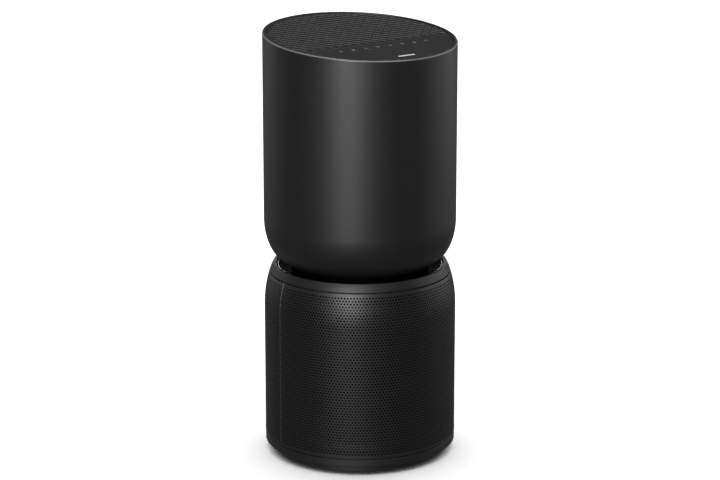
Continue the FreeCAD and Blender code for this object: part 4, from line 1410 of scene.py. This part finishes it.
@dataclass
class PanelMarks:
    """Key pictures, small lamps and a plain bar on the touch panel."""

    disc: TopDisc
    size: float = 2.5 * MM
    stroke: float = 0.55 * MM
    proud: float = 0.04 * MM
    key_y: float = -46.9 * MM
    pitch: float = 16.5 * MM
    lamp_y: float = -52.5 * MM
    bar_y: float = -90.0 * MM
    bar_length: float = 22.5 * MM
    bar_width: float = 3.2 * MM
    lamp_pitch: float = 3.4 * MM
    lamp_radius: float = 0.45 * MM
    lamp_keys: tuple[int, ...] = (1, 2)

    def raised(self, soup: Soup, shape: Polygon) -> None:
        """Add a thin raised patch with the given outline."""
        if area(shape) < 0:
            shape = shape[::-1]
        top, bottom = self.disc.lift(shape, -self.proud), self.disc.lift(shape, self.proud)
        count = len(shape)
        soup.add(top, [tuple(range(count))])
        soup.add(bottom, [tuple(reversed(range(count)))])
        soup.tube([top, bottom])

    def line(self, soup: Soup, points: Sequence[Point2], width: float) -> None:
        """Add a raised stroke along a line, one patch for each straight run.

        Args:
            soup: where the stroke goes.
            points: the line.
            width: the stroke's width.
        """
        for (ax, ay), (bx, by) in zip(points, points[1:]):
            along = Vector((bx - ax, by - ay))
            if along.length < 1e-7:
                continue
            along.normalize()
            side = Vector((-along.y, along.x)) * width / 2
            end = along * width * 0.25
            self.raised(soup, [(ax - end.x - side.x, ay - end.y - side.y),
                               (bx + end.x - side.x, by + end.y - side.y),
                               (bx + end.x + side.x, by + end.y + side.y),
                               (ax - end.x + side.x, ay - end.y + side.y)])

    def lamp(self, soup: Soup, x: float) -> None:
        """Add a small round lamp."""
        size = self.lamp_radius
        self.raised(soup, arc_points((x, self.lamp_y), size, size, 0, 330, 11))

    def keys(self) -> Soup:
        """Pictures and lamps of all keys in one mesh."""
        soup = Soup()
        pictures = list(Pictogram)
        first = -(len(pictures) - 1) / 2 * self.pitch
        for index, picture in enumerate(pictures):
            x = first + index * self.pitch
            for stroke in picture.strokes():
                self.line(soup, [(x + px * self.size, self.key_y + py * self.size)
                                 for px, py in stroke], self.stroke)
            if index in self.lamp_keys:
                for step in range(-1, 2):
                    self.lamp(soup, x + step * self.lamp_pitch)
        return soup

    def bar(self) -> Soup:
        """Plain bar with round ends, near the front edge."""
        soup = Soup()
        half = (self.bar_length - self.bar_width) / 2
        end = self.bar_width / 2
        bar = (arc_points((half, self.bar_y), end, end, -90, 90, 12)
               + arc_points((-half, self.bar_y), end, end, 90, 270, 12))
        self.raised(soup, bar)
        return soup


# ------------------------------------------------------------------------------------------
# Studio
# ------------------------------------------------------------------------------------------
class Lights(Enum):
    """What a light falls on: the value says how the paper is linked to it."""

    PAPER = "INCLUDE"
    OBJECT = "EXCLUDE"


@dataclass(frozen=True)
class Softbox:
    """A rectangular light: degrees from the camera's side and above the horizon, metres, watts."""

    name: str
    turn: float
    elevation: float
    distance: float
    width: float
    height: float
    power: float
    target: Lights


SOFTBOXES = (
    Softbox("overhead", 180.0, 75.0, 3.6, 9.0, 9.0, 590.0, Lights.PAPER),
    Softbox("fill", 0.0, 85.0, 3.0, 3.0, 3.0, 80.0, Lights.OBJECT),
    Softbox("key", -13.5, 11.5, 2.6, 1.15, 1.5, 60.0, Lights.OBJECT),
    Softbox("right_edge", 112.0, 12.0, 3.0, 3.4, 2.4, 24.0, Lights.OBJECT),
    Softbox("left_edge", -125.0, 12.0, 3.0, 2.4, 2.4, 8.0, Lights.OBJECT),
    Softbox("back", 180.0, 5.0, 3.0, 1.6, 0.5, 9.0, Lights.OBJECT),
)


@dataclass
class Studio:
    """Pale floor, soft lights and the camera; angles in degrees unless they say otherwise."""

    azimuth: float = -34.6
    distance: float = 2.800
    pitch: float = math.radians(14.958)
    aim: float = 247.5 * MM
    lens: float = 126.35
    shift: float = -0.0011
    room_light: float = 0.145
    receivers: dict[Lights, bpy.types.Collection] = field(default_factory=dict)

    def floor(self) -> None:
        """Lay a wide flat sheet of paper, and make the two groups that say what lights reach."""
        soup = Soup()
        steps = 48
        loops = [[(r * math.cos(math.tau * i / steps), r * math.sin(math.tau * i / steps), 0.0)
                  for i in range(steps)] for r in (0.4, 1.2, 3.0, 7.0, 14.0)]
        soup.tube(loops)
        soup.add(loops[0], [tuple(range(steps))])
        mesh = bpy.data.meshes.new("paper")
        mesh.from_pydata(soup.points, [], soup.faces)
        mesh.materials.append(PaleFloor("paper", (0.92, 0.92, 0.92)).material())
        sheet = bpy.data.objects.new("paper", mesh)
        bpy.context.scene.collection.objects.link(sheet)
        sheet.visible_glossy = False
        sheet.visible_diffuse = False
        sheet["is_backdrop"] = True
        for target in Lights:
            group = bpy.data.collections.new(target.name.lower())
            group.objects.link(sheet)
            group.collection_objects[0].light_linking.link_state = target.value
            self.receivers[target] = group

    def place(self, azimuth: float, elevation: float, distance: float) -> Vector:
        """A point about the object, with angles in degrees and azimuth 0 in front."""
        a, e = math.radians(azimuth), math.radians(elevation)
        away = Vector((math.sin(a) * math.cos(e), -math.cos(a) * math.cos(e), math.sin(e)))
        return Vector((0, 0, self.aim)) + away * distance

    def hang(self, softbox: Softbox) -> None:
        """Add a rectangular light that faces the object.

        Args:
            softbox: the light's place, size, power and what it falls on.
        """
        lamp = bpy.data.lights.new(softbox.name, "AREA")
        lamp.shape = "RECTANGLE"
        lamp.size, lamp.size_y = softbox.width, softbox.height
        lamp.energy = softbox.power
        box = bpy.data.objects.new(softbox.name, lamp)
        box.location = self.place(self.azimuth + softbox.turn, softbox.elevation,
                                  softbox.distance)
        aim = Vector((0, 0, self.aim)) - box.location
        box.rotation_euler = aim.to_track_quat("-Z", "Y").to_euler()
        bpy.context.scene.collection.objects.link(box)
        box.light_linking.receiver_collection = self.receivers[softbox.target]

    def lights(self) -> None:
        """Set up a dim white room and hang the softboxes in it."""
        world = bpy.data.worlds.new("room")
        world.use_nodes = True
        background = world.node_tree.nodes["Background"]
        background.inputs["Color"].default_value = (1.0, 1.0, 1.0, 1.0)
        background.inputs["Strength"].default_value = self.room_light
        bpy.context.scene.world = world
        for softbox in SOFTBOXES:
            self.hang(softbox)

    def camera(self) -> None:
        """Stand the camera where it sees the front from the left and a little above."""
        data = bpy.data.cameras.new("camera")
        data.lens = self.lens
        data.sensor_width = 36.0
        data.shift_y = self.shift
        data.clip_end = 100.0
        camera = bpy.data.objects.new("camera", data)
        a = math.radians(self.azimuth)
        camera.location = (math.sin(a) * self.distance, -math.cos(a) * self.distance,
                           self.aim + self.distance * math.tan(self.pitch))
        camera.rotation_euler = (math.pi / 2 - self.pitch, 0.0, a)
        bpy.context.scene.collection.objects.link(camera)
        bpy.context.scene.camera = camera

    def build(self) -> None:
        """Set the whole studio up."""
        self.floor()
        self.lights()
        self.camera()
        bpy.context.scene.view_settings.view_transform = "Standard"


def main() -> None:
    """Build every sub-assembly, then the studio."""
    top = SlantedTop()
    for part in (Base(), Cage(), FilterCartridge(), Neck(), FanUnit(), UpperDrum(top),
                 TopDisc(top), Studio()):
        part.build()
        LOG.info("%s is built", type(part).__name__)
    [[list(corner) for corner in box] for box in (CAD_BOX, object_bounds())]


if __name__ == "__main__":
    logging.basicConfig(level=logging.INFO, format="%(name)s: %(message)s")
    main()
